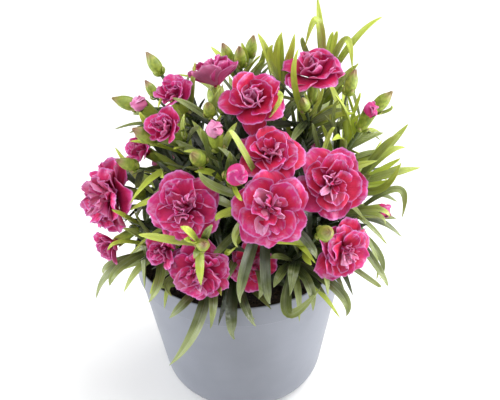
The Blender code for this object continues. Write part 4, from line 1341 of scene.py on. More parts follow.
@dataclass
class Bloom:
    """The petals of one open or half-open flower."""

    head: Head
    fullness: Fullness
    teeth: Triple = (0.016, 0.024, 0.022)  # of the large petals, the small ones and the accents
    core_steps: tuple[float, ...] = (0, 0.01, 0.12, 0.24, 0.29, 0.30)

    @property
    def node(self) -> str:
        """The solid that the petals stand for."""
        return f"bloom_{self.head.name}"

    @property
    def place(self) -> Matrix:
        """The matrix from the bloom's own frame to the plant's."""
        axis = facing(self.head.aim)
        return place_on(axis, self.head.at - axis * self.head.size * FACE_DEPTH + axis * GAP)

    def large_petals(self, trial: int) -> list[Petal]:
        """Draws the petals of the solid, as its maker did.

        Args:
            trial: One of the turns that the bloom may have.

        Returns:
            The petals.
        """
        draw = random.Random(f"{self.head.name}{trial}")
        petals = []
        for ring in RINGS[self.head.kind]:
            start = draw.uniform(0, 360)
            for number in range(ring.count):
                turn = start + 360 / ring.count * number + draw.uniform(-6, 6)
                pitch, roll = draw.uniform(-5, 5), draw.uniform(6, 14)
                size = self.head.size * draw.uniform(0.93, 1.04)
                petals.append(Petal(ring, size, draw.uniform(0, 6.28), turn, pitch, roll))
        return petals

    def turned_as(self, solid: Array) -> list[Petal]:
        """Finds the turn that the solid has, which is where most tips are its corners.

        Args:
            solid: The solid's corners.

        Returns:
            The large petals at that turn.
        """
        def met(petals: list[Petal]) -> int:
            """How many of the petals end on a corner of the solid."""
            return sum(touches(solid, moved(petal.tip(), self.place)) for petal in petals)

        choices = [self.large_petals(trial) for trial in range(BLOOM_TRIALS)]
        best = max(choices, key=met)
        LOG.info("%s: %d of %d petals found", self.node, met(best), len(best))
        return best

    def small_petals(self, draw: random.Random) -> Iterator[Petal]:
        """Fills the bloom.

        Args:
            draw: The bloom's own draws.

        Yields:
            Frilled petals, often folded so that their pale backs show.
        """
        rings = self.fullness.value
        for depth, ring in enumerate(rings):
            start = draw.uniform(0, 360)
            inner = depth / len(rings)
            rows, columns = (12, 19) if ring.width > 0.15 else (8, 7)
            for number in range(ring.count):
                folds = [draw.choice((0, 0, 1)) * draw.uniform(0.8, 2.4) * (0.6 + inner)
                         for _ in range(2)]
                size, wave = self.head.size * draw.uniform(0.90, 1.06), draw.uniform(0, math.tau)
                turn = start + 360 / ring.count * number + draw.uniform(-16, 16)
                pitch, roll = draw.uniform(-12, 12), draw.uniform(-8, 22)
                ruffle = draw.uniform(*RUFFLES[self.fullness]) * 1.3
                curl, paleness = draw.uniform(-30, 25), max(0.0, draw.uniform(-0.5, 0.7) * inner)
                yield Petal(ring, size, wave, turn, pitch, roll, ruffle, self.teeth[1],
                            tuple(folds), curl, paleness, rows=rows, columns=columns)

    def accents(self) -> Iterator[Petal]:
        """Places the small petals that have places of their own.

        Yields:
            The petals.
        """
        axis = facing(self.head.aim)
        side, other = frame_on(axis)
        top = unit(np.array((0.0, 0.0, 1.0)) - axis[2] * axis)
        right = np.cross(top, axis)
        for number, accent in enumerate(ACCENTS.get(self.head.name, ())):
            clock = math.radians(accent.clock)
            out = top * math.cos(clock) + right * math.sin(clock)
            turn = math.degrees(math.atan2(out @ other, out @ side))
            ring = Ring(1, accent.length, accent.width, accent.lean, accent.height)
            yield Petal(ring, self.head.size, 1.7 * number, turn, pitch=0, roll=0, ruffle=0.014,
                        teeth=self.teeth[2], folds=accent.folds, paleness=accent.paleness)

    def build(self, finish: Material) -> Piece:
        """Builds the bloom's petals and its core.

        Args:
            finish: The petals' material.

        Returns:
            The finished piece.
        """
        draw = random.Random(f"petals {self.head.name}")
        patches = Patchwork()
        cool = COOL_BLOOMS.get(self.head.name, 0.0)
        for petal in self.turned_as(corners_of(self.node)):
            ruffle, curl = draw.uniform(*RUFFLES[self.fullness]), draw.uniform(-28, 24)
            shaped = replace(petal, ruffle=ruffle, teeth=self.teeth[0], curl=curl)
            shaped.lay(patches, self.place, draw.random(), cool)
        for petal in (*self.small_petals(draw), *self.accents()):
            petal.lay(patches, self.place, draw.random(), cool)
        size = self.head.size
        core = np.array([(0, 0, size * share) for share in self.core_steps])
        radii = np.array((0.1, 1.7, 1.6, 0.07 * size, 0.05 * size, 0.2))
        patches.tube(moved(core, self.place), radii, (0.5, 0.0, 0.0))
        return hand_in(patches.build(f"petals_{self.head.name}", [finish]), self.node)


@dataclass
class BudTip:
    """The rolled petals in the mouth of an opening bud."""

    head: Head
    rings: tuple[Ring, ...] = (
        Ring(3, 1.14, 1.05, (26, -92), 0.0, 0.38),
        Ring(3, 1.10, 0.95, (22, -84), 0.0, 0.31),
        Ring(2, 0.98, 0.50, (4, -40), 0.0, 0.10),
    )
    sunk: float = 0.6  # how far the petals reach down into the bud

    def build(self, finish: Material) -> Piece:
        """Builds the petals, each lapped over the next.

        Args:
            finish: The petals' material.

        Returns:
            The finished piece.
        """
        name = self.head.name
        draw = random.Random(f"bud tip {name}")
        axis = facing(self.head.aim)
        place = place_on(axis, self.head.at - axis * self.sunk)
        patches = Patchwork()
        for ring in self.rings:
            start = draw.uniform(0, 360)
            for number in range(ring.count):
                wave = draw.uniform(0, math.tau)
                turn = start + 360 / ring.count * number
                paleness = PALE_BUDS.get(name, 0.0) * draw.uniform(0.5, 1.3)
                petal = Petal(ring, self.head.size, wave, turn, pitch=0, roll=16, ruffle=0.022,
                              teeth=0.016, folds=(0.7, 0.7), paleness=paleness, columns=15)
                petal.lay(patches, place, draw.random(), COOL_BLOOMS.get(name, 1.0))
        piece = patches.build(f"bud_petals_{name}", [finish])
        return hand_in(piece, f"bud_tip_{name}")


# ---- stems and leaves


def head_foot(head: Head) -> tuple[Array, Array]:
    """Finds where a head's calyx or bud begins and ends, from the stem outwards.

    Args:
        head: The head.

    Returns:
        The two points.
    """
    axis, at = facing(head.aim), np.array(head.at)
    if head.kind in BLOOMS:
        mouth = at - axis * head.size * FACE_DEPTH
        return mouth - axis * CALYX_L * (CALYX_SHARE + head.size / CALYX_GROWTH), mouth
    back, ahead = {PINK_BUD: (1.5, 0), GREEN_BUD: (1, 1)}.get(head.kind, (1, 0))
    return at - axis * head.size * back, at + axis * head.size * ahead


def stem_controls(root: Array, head: Head, sway: float) -> tuple:
    """Curves a stem from the peat to the foot of its head.

    Args:
        root: Where it stands, across and deep.
        head: The head on its end.
        sway: How far it bows to its side.

    Returns:
        The controls of its curve.
    """
    foot, _ = head_foot(head)
    start = np.array((*root, STEM_START_Z))
    reach = np.linalg.norm(foot - start)
    bow = sway * unit(np.cross(foot - start, (0.2, 0.1, 1)))
    lifted = start + (foot - start) * STEM_LIFT
    return start, lifted + bow, foot - facing(head.aim) * 0.32 * reach + bow * 0.5, foot


def twig_controls(stem: tuple, head: Head) -> tuple:
    """Curves a side twig from its fork on the stem to the foot of its head.

    Args:
        stem: The controls of the stem.
        head: The head on the twig's end.

    Returns:
        The controls of its curve.
    """
    foot, _ = head_foot(head)
    start, along = on_stem(stem, head.fork), curve_heading(stem, head.fork)
    reach = np.linalg.norm(foot - start)
    return start, start + along * 0.35 * reach, foot - facing(head.aim) * 0.3 * reach, foot


def on_stem(controls: tuple, share: float) -> Array:
    """Finds a point on the straight runs between a solid stem's rings.

    Args:
        controls: The controls of the stem.
        share: The place along it.

    Returns:
        The point.
    """
    above = next(knot for knot in STEM_SHARES if knot >= share)
    below = STEM_SHARES[max(STEM_SHARES.index(above) - 1, 0)]
    part = (share - below) / (above - below) if above > below else 0
    low, high = curve_point(controls, below), curve_point(controls, above)
    return low + (high - low) * part


@dataclass(frozen=True)
class Blade:
    """A leaf's arch: three curve controls, its width and the way its inner face looks."""

    controls: tuple
    width: float
    face: Array

    @classmethod
    def through(cls, start: Array, middle: Array, tip: Array, width: float, face: Array) -> "Blade":
        """The blade whose arch passes through the middle."""
        return cls((start, 2 * middle - (start + tip) / 2, tip), width, face)


@dataclass(frozen=True)
class Habit:
    """How the leaves of a pair grow from their stem.

    They lean from it by an angle in degrees. Their length and width are given at its foot, with
    how much less they are at its top and the range of luck that multiplies them. The tip sags by
    a share of the length, and flares out of the line to the middle.
    """

    lean: Range
    length: Range
    length_luck: Range
    sag: Range
    width: Range
    width_luck: Range
    flare: float
    reach: float
    half_way: float = 0.52

    def grow(self, draw: random.Random, start: Array, along: Array, out: Array, up: float,
             shrunk: float = 1, drooped: float = 1) -> Blade:
        """Grows a leaf.

        Args:
            draw: Its draws.
            start: Its root.
            along: The stem's own way there.
            out: The way square to the stem that the leaf leans.
            up: How far up it grows, from 0 to 1.
            shrunk: What its length is multiplied by.
            drooped: What its sag is multiplied by.

        Returns:
            The blade.
        """
        lean = math.radians(draw.uniform(*self.lean))
        length = self.length[0] - self.length[1] * up
        length = length * draw.uniform(*self.length_luck) * shrunk
        sag = np.array((0, 0, draw.uniform(*self.sag) * drooped * length))
        width = (self.width[0] - self.width[1] * up) * draw.uniform(*self.width_luck)
        heading = along * math.cos(lean) + out * math.sin(lean)
        middle = start + heading * self.half_way * length
        tip = start + unit(heading + self.flare * out) * self.reach * length - sag
        return Blade.through(start, middle, tip, width, unit(along - 0.5 * out))


SOLID_HABIT = Habit((34, 56), (66, 26), (0.85, 1.1), (0.08, 0.30), (1, 0), (4.4, 6.4), 0.35, 0.96)
FILLER_HABIT = Habit(
    (20, 48), (46, 21), (0.75, 1.2), (0, 0.12), (6.2, 1.7), (0.8, 1.15), 0.14, 0.98)


def own_blade(shoot: Shoot, stem: tuple, number: int, trial: int) -> Blade:
    """Draws a leaf that has a place of its own, as the solid's maker did.

    Args:
        shoot: Its shoot.
        stem: The controls of the stem.
        number: Which of the shoot's own leaves it is.
        trial: How often it was nudged, each time a little more.

    Returns:
        The blade.
    """
    leaf = shoot.leaves[number]
    rng = random.Random(f"{shoot.name} own {number} {trial}")
    nudge = np.array([rng.uniform(-1, 1) for _ in range(6)]).reshape(2, 3) * 0.9 * trial
    face = unit(np.array((rng.uniform(-0.4, 0.4), -0.5, 0.85)))
    start, middle, tip = on_stem(stem, leaf.fork), leaf.middle + nudge[1], leaf.tip + nudge[0]
    return Blade.through(start, middle, tip, leaf.width, face)


def pair_blade(shoot: Shoot, stem: tuple, pair: int, side: int, trial: int) -> Blade:
    """Draws one leaf of an opposite pair, as the solid's maker did.

    Args:
        shoot: Its shoot.
        stem: The controls of the stem.
        pair: Which pair it belongs to.
        side: 0 or 1, for the two leaves of the pair.
        trial: How often it was turned and shortened, each time a little more.

    Returns:
        The blade.
    """
    rng = random.Random(f"{shoot.name} pair {pair} {side} {trial}")
    fork = shoot.pair_fork(pair) + rng.uniform(-0.04, 0.04)
    along = curve_heading(stem, fork)
    first_turn = sum(map(ord, shoot.name)) * 37 % 360
    turn = first_turn + 90 * pair + 180 * side + rng.uniform(-12, 12) * (1 + trial)
    out = round_axis(along, math.radians(turn))
    return SOLID_HABIT.grow(rng, on_stem(stem, fork), along, out, fork, 1 - 0.055 * trial)


HEADS = [head for shoot in SHOOTS for head in shoot.heads if head.kind is not TIP]
HEADS_AT = np.array([head.at for head in HEADS], float)
HEADS_FACE = np.array([facing(head.aim) for head in HEADS])
HEADS_R = np.array([head.size / 2 + (0.0 if head.kind in BLOOMS else 1.0) for head in HEADS])
# Leaves may hang over the small heads and over two of the lowest blooms.
HEADS_KEPT = np.array([
    head.size > 20 and head.name not in ("low_centre", "under_left") for head in HEADS])


@dataclass(frozen=True)
class Clearing:
    """The room that leaves keep: in the plant's dome, out of the pot and off the blooms' faces.

    The eye is a point in front of the plant and above it, from which blooms' faces stay in view.
    """

    eye: Triple = (6.0, -503.0, 447.0)
    middle: Triple = (6.0, 0.0, 100.0)
    reach: Triple = (86.0, 76.0, 112.0)
    pot_r: float = 53.0
    above_soil: float = 84.0
    above_rim: float = 93.0
    samples: tuple[float, ...] = (0.2, 0.4, 0.6, 0.8, 1.0)
    least_turned: float = 0.15  # how far a bloom has to face the eye to be kept in view
    kept_off: float = 0.95  # of a head's radius, all round it
    kept_clear: float = 0.86  # of a head's radius, on the eye's side

    def outwards(self, point: Array) -> float:
        """How far out a point is: 0 in the dome's middle and 1 on the dome."""
        return float(np.linalg.norm((point - self.middle) / np.array(self.reach)))

    def free(self, blade: Blade) -> bool:
        """True if a leaf can grow there."""
        return all(self.open_at(curve_point(blade.controls, share)) for share in self.samples)

    def open_at(self, point: Array) -> bool:
        """Tests one point.

        Args:
            point: The point.

        Returns:
            True if it is in the dome, above the pot and clear of every head.
        """
        over_pot = math.hypot(*point[:2]) <= self.pot_r
        lowest = self.above_soil if over_pot else self.above_rim
        if self.outwards(point) > 1 or point[2] < lowest:
            return False
        away = point - HEADS_AT
        far = np.linalg.norm(away, axis=1)
        sight = unit(np.array(self.eye) - HEADS_AT)
        ahead = np.sum(away * sight, axis=1)
        aside = np.sqrt(np.maximum(far**2 - ahead**2, 0))
        shown = (np.sum(sight * HEADS_FACE, axis=1) > self.least_turned) & HEADS_KEPT
        hides = shown & (ahead > 0) & (aside < HEADS_R * self.kept_clear)
        return not np.any((far < HEADS_R * self.kept_off) | hides)


@dataclass
class Sprig:
    """One shoot: its stem and twigs, calyxes, green buds and leaves."""

    shoot: Shoot
    leaf_rows: int = 19
    leaf_columns: int = 7
    leaf_thickness: float = 0.8
    leaf_slim: Range = (4.4, 0.6)  # the width from which leaves are slimmer, and the share kept
    leaf_edge: float = 0.06
    filler_rows: int = 12
    scale_rows: int = 8
    scale_thickness: float = 0.5
    scales: int = 4
    sides: int = 20
    teeth: int = 5
    node_swell: float = 0.45
    node_width: float = 0.025
    node_step: float = 12.5
    first_node: float = 0.6
    last_fork: float = 0.97
    filler_z: Range = (85.0, 110.0)  # where the filling leaves are longest, and up to how much more
    young_z: Range = (125.0, 95.0)  # the same for how new leaves are, and how brightly lit they are painted
    lucks: Triple = (-0.05, 0.22, 0.62)  # what the number for how new and how lit a leaf is may gain
    aging: float = 1.6  # what it loses deep inside the plant: painted shade
    clearing: Clearing = Clearing()

    def __post_init__(self) -> None:
        """Reads from the solid where the stem stands and how it bows."""
        heads = self.shoot.heads
        self.solid = corners_of(f"shoot_{self.shoot.name}")
        self.draw = random.Random(f"sprig {self.shoot.name}")
        self.foot_z = SOIL_Z - HOLE_DEPTH + GAP
        low = np.abs(self.solid[:, 2] - self.foot_z) < FOOT_MATCH
        in_pot = np.hypot(*self.solid[:, :2].T) < STEMS_R
        self.root = self.solid[low & in_pot][:, :2].mean(axis=0)
        stems = [stem_controls(self.root, heads[0], sway) for sway in SWAYS]
        self.stem = max(stems, key=self.ringed)
        self.curves = [self.stem, *(twig_controls(self.stem, head) for head in heads[1:])]

    def ringed(self, stem: tuple) -> int:
        """Counts the solid's corners on the stem's rings, if this were its curve.

        Args:
            stem: The controls of the curve.

        Returns:
            Their number.
        """
        count = 0
        for share in STEM_SHARES[1:3]:
            away = np.linalg.norm(self.solid - curve_point(stem, share), axis=1)
            count += int(np.sum(np.abs(away - STEM_R * (1 - TAPER * share)) < RING_MATCH))
        return count

    def grown(self, make: Callable[[int], Blade], trials: int) -> Blade | None:
        """The trial of a leaf that is in the solid, if it grew at all."""
        blades = (make(trial) for trial in range(trials))
        return next((blade for blade in blades if touches(self.solid, blade.controls[-1])), None)

    def leaves(self) -> tuple[list[Blade], list[Blade]]:
        """Finds the solid's leaves again.

        Returns:
            Those that have places of their own, and those that grow in pairs.
        """
        shoot, stem = self.shoot, self.stem
        own = [self.grown(lambda trial: own_blade(shoot, stem, number, trial), OWN_TRIALS)
               for number in range(len(shoot.leaves))]
        pairs = [self.grown(lambda trial: pair_blade(shoot, stem, pair, side, trial), PAIR_TRIALS)
                 for pair in range(shoot.pairs) for side in (0, 1)]
        return [blade for blade in own if blade], [blade for blade in pairs if blade]

    def extras(self) -> Iterator[tuple[Blade, float]]:
        """Places the leaves that stand beside the solid's.

        Yields:
            Each leaf with how new it is, which also paints how lit it is.
        """
        for extra in EXTRAS.get(self.shoot.name, ()):
            start = curve_point(self.curves[extra.on], extra.fork)
            middle, tip = np.array(extra.middle, float), np.array(extra.tip, float)
            face = unit(np.array((self.draw.uniform(-0.35, 0.35), -0.55, 0.8)))
            yield Blade.through(start, middle, tip, extra.width, face), extra.youth

    def fillers(self) -> Iterator[Blade]:
        """Fills the plant with leaf pairs at close steps up the stem and twigs.

        Yields:
            The leaves that there is room for.
        """
        draw = random.Random(f"{self.shoot.name} fillers")
        for curve in self.curves:
            length = float(np.linalg.norm(curve[-1] - curve[0]))
            turn = draw.uniform(0, 360)
            for number in range(int(length / self.node_step)):
                fork = min((number + self.first_node) * self.node_step / length, self.last_fork)
                turn += 90 + draw.uniform(-20, 20)
                for side in (0, 180):
                    trials = (self.filler(curve, fork, turn + side, draw)
                              for _ in range(FILLER_TRIALS))
                    blade = next(filter(self.clearing.free, trials), None)
                    if blade:
                        yield blade

    def filler(self, curve: tuple, fork: float, turn: float, draw: random.Random) -> Blade:
        """Draws one leaf of a filling pair, shorter and narrower the higher it grows.

        Args:
            curve: The controls of its stem or twig.
            fork: Its place there.
            turn: The way it leans round it, in degrees.
            draw: The filling leaves' own draws.

        Returns:
            The blade.
        """
        start, along = curve_point(curve, fork), curve_heading(curve, fork)
        low, span = self.filler_z
        up = float(np.clip((start[2] - low) / span, 0, 1))
        out = round_axis(along, math.radians(turn + draw.uniform(-25, 25)))
        return FILLER_HABIT.grow(draw, start, along, out, up, drooped=1.3 - up)

    def curve(self, controls: tuple, shares: Array) -> Array:
        """Points of a stem's or leaf's curve."""
        return np.array([curve_point(controls, share) for share in shares])

    def add_stem(self, patches: Patchwork, controls: tuple, radius: float, below: bool) -> None:
        """Adds a stem or twig.

        Args:
            patches: Where it goes.
            controls: The controls of its curve.
            radius: Its radius at its start.
            below: True for a stem, which runs down into the peat and swells where leaf pairs sit.
        """
        shares = np.linspace(0, 1, 26)
        path = self.curve(controls, shares)
        radii = radius * (1 - TAPER * shares)
        if below:
            for pair in range(self.shoot.pairs):
                away = (shares - self.shoot.pair_fork(pair)) / self.node_width
                radii = radii + self.node_swell * np.exp(-(away**2))
            buried = [(*self.root, depth) for depth in np.linspace(self.foot_z, path[0][2] - 1, 3)]
            path = np.vstack((buried, path))
            radii = np.concatenate(([radius] * len(buried), radii))
        patches.tube(path, radii, (self.draw.random(), 0.0, 0.0), STEM_SLOT, sides=9)

    def toothed(self) -> Array:
        """A wave round a calyx or bud, 1 at each of its teeth and -1 between them."""
        return np.cos(self.teeth * np.arange(self.sides) * math.tau / self.sides)

    def add_calyx(self, patches: Patchwork, head: Head) -> None:
        """Adds a bloom's calyx, with teeth at its mouth and scales at its foot.

        Args:
            patches: Where it goes.
            head: The bloom or opening bud that it holds.
        """
        foot, mouth = head_foot(head)
        length = np.linalg.norm(mouth - foot)
        radius = 0.46 * head.size if head.kind is PINK_BUD else 2.6 + head.size / 60
        shares = np.array((0.0, 0.06, 0.16, 0.30, 0.48, 0.68, 0.86, 0.97, 0.99, 0.90, 0.70))
        swell = np.array((0.36, 0.55, 0.72, 0.82, 0.90, 0.96, 1.0, 1.04, 0.96, 0.86, 0.3))
        rising = np.array((0, 0, 0, 0, 0, 0, 0.3, 1.0, 1.0, 0.2, 0))
        fluting = np.outer(rising, 0.5 + 0.5 * self.toothed()) * 0.16 * length
        path = foot + np.outer(shares, mouth - foot)
        tone = (self.draw.random(), 0.6, 0.0)
        patches.tube(path, swell * radius, tone, BUD_SLOT, self.sides, fluting)
        self.add_scales(patches, foot, facing(head.aim), radius * 0.72, 0.30 * length)

    def add_bud(self, patches: Patchwork, head: Head) -> None:
        """Adds a closed green bud: lapped sepals that end in a point, and scales at its foot.

        Args:
            patches: Where it goes.
            head: The bud.
        """
        foot, end = head_foot(head)
        shares = np.linspace(0, 1, 15)
        bulge = np.sin(np.pi * np.clip(shares * 0.93 + 0.045, 0, 1) ** 0.82) ** 0.72
        radii = np.maximum(0.5 * head.size * bulge * (1 - 0.30 * rise(shares, 0.7, 1)), 0.25)
        fluting = np.outer(rise(shares, 0.6, 1), self.toothed()) * 0.6
        path = foot + np.outer(shares, end - foot)
        tone = (self.draw.random(), self.draw.uniform(0.6, 1.0), 0.0)
        patches.tube(path, radii, tone, BUD_SLOT, self.sides, fluting)
        self.add_scales(patches, foot, facing(head.aim), 0.36 * head.size, 0.50 * head.size)

    def add_scales(self, patches: Patchwork, foot: Array, axis: Array, radius: float,
                   length: float) -> None:
        """Adds the pointed scales that hug the foot of a calyx or bud.

        Args:
            patches: Where they go.
            foot: The middle of the foot.
            axis: The way the calyx or bud faces.
            radius: How far out they stand.
            length: Their length.
        """
        start = self.draw.uniform(0, math.tau)
        for number in range(self.scales):
            out = round_axis(axis, start + number * math.tau / self.scales)
            base = foot - axis * 0.4 + out * 0.5
            middle = foot + axis * length * 0.42 + out * (radius + 0.4)
            rising = axis * length * self.draw.uniform(0.95, 1.25)
            tip = foot + rising + out * (radius * 1.15 + 0.4)
            blade = Blade.through(base, middle, tip, radius * 1.3, -out)
            self.add_leaf(patches, blade, (0, 0), BUD_SLOT, self.draw.uniform(0.5, 1.0),
                          self.scale_thickness, self.scale_rows)

    def add_leaf(self, patches: Patchwork, blade: Blade, turns: Range, slot: int, youth: float,
                 thickness: float | None = None, rows: int | None = None) -> None:
        """Adds a leaf.

        Args:
            patches: Where it goes.
            blade: Its arch.
            turns: How far it twists at its tip in radians, and curls there in millimetres.
            slot: The number of its finish.
            youth: From 0, older and grey-green, to 1, younger and lime; it also paints how
                lit the leaf is.
            thickness: Its thickness, if not the usual one.
            rows: Its rows of points, if not the usual number.
        """
        twist, curl = turns
        shares = np.linspace(0, 1, rows or self.leaf_rows)
        middle = self.curve(blade.controls, shares)
        heading = unit(np.gradient(middle, axis=0))
        flat = unit(np.cross(heading, blade.face))
        upper = np.cross(flat, heading)
        angle = (twist * shares**1.5)[:, None]
        sine, cosine = np.sin(angle), np.cos(angle)
        flat, upper = flat * cosine + upper * sine, upper * cosine - flat * sine
        middle = middle - upper * (curl * rise(shares, 0.55, 1.0) ** 2)[:, None]
        slim, kept = self.leaf_slim
        width = min(blade.width, slim + kept * (blade.width - slim))
        swell = 0.45 + 0.55 * rise(shares, 0, 0.35)
        taper = 1 - np.clip((shares - 0.40) / 0.60, 0, 1) ** 2.3
        half = (width / 2 * swell * taper + self.leaf_edge)[:, None, None]
        across = np.linspace(-1, 1, self.leaf_columns)[None, :, None]
        channel = 0.42 * (1 - np.abs(across) ** 1.5)
        grid = middle[:, None] + half * (across * flat[:, None] - channel * upper[:, None])
        tone = (youth, self.draw.random(), 0.0)
        patches.blade(grid, thickness or self.leaf_thickness, tone, slot)

    def youth_of(self, blade: Blade) -> float:
        """Draws how new a leaf is, and how brightly lit it is painted.

        Args:
            blade: The leaf.

        Returns:
            A number for how new and how lit it is: high near the top of the plant and on its right,
            where it is painted as lit, lower down, and lowest deep inside it, where it is painted
            shade.
        """
        tip = blade.controls[-1]
        low, span = self.young_z
        high = max((tip[2] - low) / span, -0.15) * 0.7
        # Painted shade: leaves deep inside the plant are painted darker.
        age_and_shade = self.aging * rise(1 - self.clearing.outwards(tip), 0.02, 0.32)
        luck = self.draw.choice(self.lucks)
        # Leaves on the right of the plant are painted lighter, as if lit from behind.
        return float(np.clip(high + luck + 0.2 * (tip[0] > 25) - age_and_shade, -0.3, 1))

    def build(self, finishes: list[Material]) -> Piece:
        """Builds the shoot.

        Args:
            finishes: The stem's, the leaves' and the buds' materials.

        Returns:
            The finished piece.
        """
        patches, name, draw = Patchwork(), self.shoot.name, self.draw
        radii = [STEM_R, *[TWIG_R] * len(self.curves[1:])]
        for number, (curve, radius) in enumerate(zip(self.curves, radii)):
            self.add_stem(patches, curve, radius, number == 0)
        for head in self.shoot.heads:
            if head.kind is GREEN_BUD:
                self.add_bud(patches, head)
            elif head.kind is not TIP:
                self.add_calyx(patches, head)
        own, pairs = self.leaves()
        for number, blade in enumerate(own + pairs):
            turns = (draw.uniform(-0.5, 0.5), draw.uniform(-0.4, 0.9))
            youth = self.youth_of(blade)
            if number < len(own):
                youth = OWN_YOUTHS_AND_LIGHT[name] + draw.uniform(-0.08, 0.08)
            self.add_leaf(patches, blade, turns, LEAF_SLOT, youth)
        for blade, youth in self.extras():
            self.add_leaf(patches, blade, (draw.uniform(-0.4, 0.4), 0.3), LEAF_SLOT, youth)
        fillers = list(self.fillers())
        for blade in fillers:
            turns = (draw.uniform(-0.5, 0.5), draw.uniform(-0.3, 0.8))
            self.add_leaf(patches, blade, turns, LEAF_SLOT, self.youth_of(blade),
                          rows=self.filler_rows)
        LOG.info("%s: %d leaves found, %d filled in", name, len(own + pairs), len(fillers))
        return hand_in(patches.build(f"sprig_{name}", finishes), f"shoot_{name}")


# ---- pot and peat


def corner(low_r: float, low_z: float, floor_z: float, steps: int, foot_r: float) -> list[Array]:
    """Rounds the corner between the wall and the floor.

    Args:
        low_r: The wall's radius where the corner starts.
        low_z: Its height there.
        floor_z: The floor's height.
        steps: How many steps the corner has.
        foot_r: The radius at which the floor is flat.

    Returns:
        The corner's outline, from the wall down.
    """
    slope = (BODY_TOP_R - BODY_LOW_R) / (POT_H - BAND_H - CORNER_H)
    bend = (low_r - slope * (low_z - floor_z), floor_z)
    controls = ((low_r, low_z), bend, (foot_r, floor_z))
    return [curve_point(controls, step / steps) for step in range(steps + 1)]


@dataclass
class Pot:
    """The thin plastic pot: a smooth wall, a plain rim band, a rounded foot and drain holes."""

    steps: int = 192
    hole_sides: int = 32
    centre_r: float = 4.0
    crease: float = 30.0

    def outline(self) -> list:
        """Draws the wall's section.

        Returns:
            Its points, from the middle of the floor's top out, over the rim and back under.
        """
        band_z = POT_H - BAND_H
        inner = corner(BODY_LOW_R - WALL, CORNER_H + 0.4, FLOOR_Z, 8, FOOT_R - 0.8)
        inner_lip = [(RIM_R - WALL, POT_H - 0.7), (RIM_R - WALL + 0.15, POT_H - 0.2)]
        top = [(RIM_R - 0.75, POT_H), (RIM_R - 0.4, POT_H - 0.05)]
        outer_lip = [(RIM_R - 0.1, POT_H - 0.35), (RIM_R, POT_H - 0.9)]
        band_end = [(BAND_BOTTOM_R + 0.03, band_z + 0.3), (BAND_BOTTOM_R - 0.2, band_z)]
        step = [(BODY_TOP_R + 0.15, band_z - 0.5), (BODY_TOP_R, band_z - 1.0)]
        outer = corner(BODY_LOW_R, CORNER_H, 0, 12, FOOT_R)
        return [(self.centre_r, FLOOR_Z), *inner[::-1], (BODY_TOP_R - WALL, band_z), *inner_lip,
                *top, *outer_lip, *band_end, *step, *outer, (self.centre_r, 0)]

    def build(self, finish: PotFinish) -> Piece:
        """Builds the wall, dresses its inside and outside and cuts the drain holes.

        Args:
            finish: The pot's finish.

        Returns:
            The finished piece.
        """
        patches = Patchwork()
        grid = rings_about(self.outline(), self.steps)
        patches.body(grid, np.zeros_like(grid), (0, 0, 0), flip=True)
        finishes = [finish.material(inside) for inside in (False, True)]
        wall = patches.build("pot_wall", finishes, self.crease)
        slope = (RIM_R - BODY_LOW_R) / (POT_H - CORNER_H)
        for face in wall.data.polygons:
            reach, height = math.hypot(*face.center[:2]) / MM, face.center[2] / MM
            skin = min(RIM_R - 0.9, BODY_LOW_R + slope * (height - CORNER_H) - 0.7)
            on_floor = face.normal.z > 0.5 and height < 5
            face.material_index = int(on_floor or reach < skin and height > CORNER_H)
        self.cut_holes(wall)
        return hand_in(wall, "pot")

    def cut_holes(self, wall: Piece) -> None:
        """Cuts the drain holes through the floor.

        Args:
            wall: The pot.
        """
        patches = Patchwork()
        for number in range(DRAIN_HOLES):
            angle = math.tau * (number + 0.5) / DRAIN_HOLES
            at = np.array((DRAIN_AT_R * math.cos(angle), DRAIN_AT_R * math.sin(angle), WALL / 2))
            path = at + np.outer((-3, 3), (0, 0, 1)) * WALL
            patches.tube(path, np.array((DRAIN_R, DRAIN_R)), (0, 0, 0), sides=self.hole_sides)
        drills = patches.build("drain_drills", [])
        wall.modifiers.new("drain_holes", "BOOLEAN").object = drills
        graph = bpy.context.evaluated_depsgraph_get()
        mesh = bpy.data.meshes.new_from_object(wall.evaluated_get(graph))
        wall.modifiers.clear()
        wall.data = mesh
        bpy.data.objects.remove(drills)


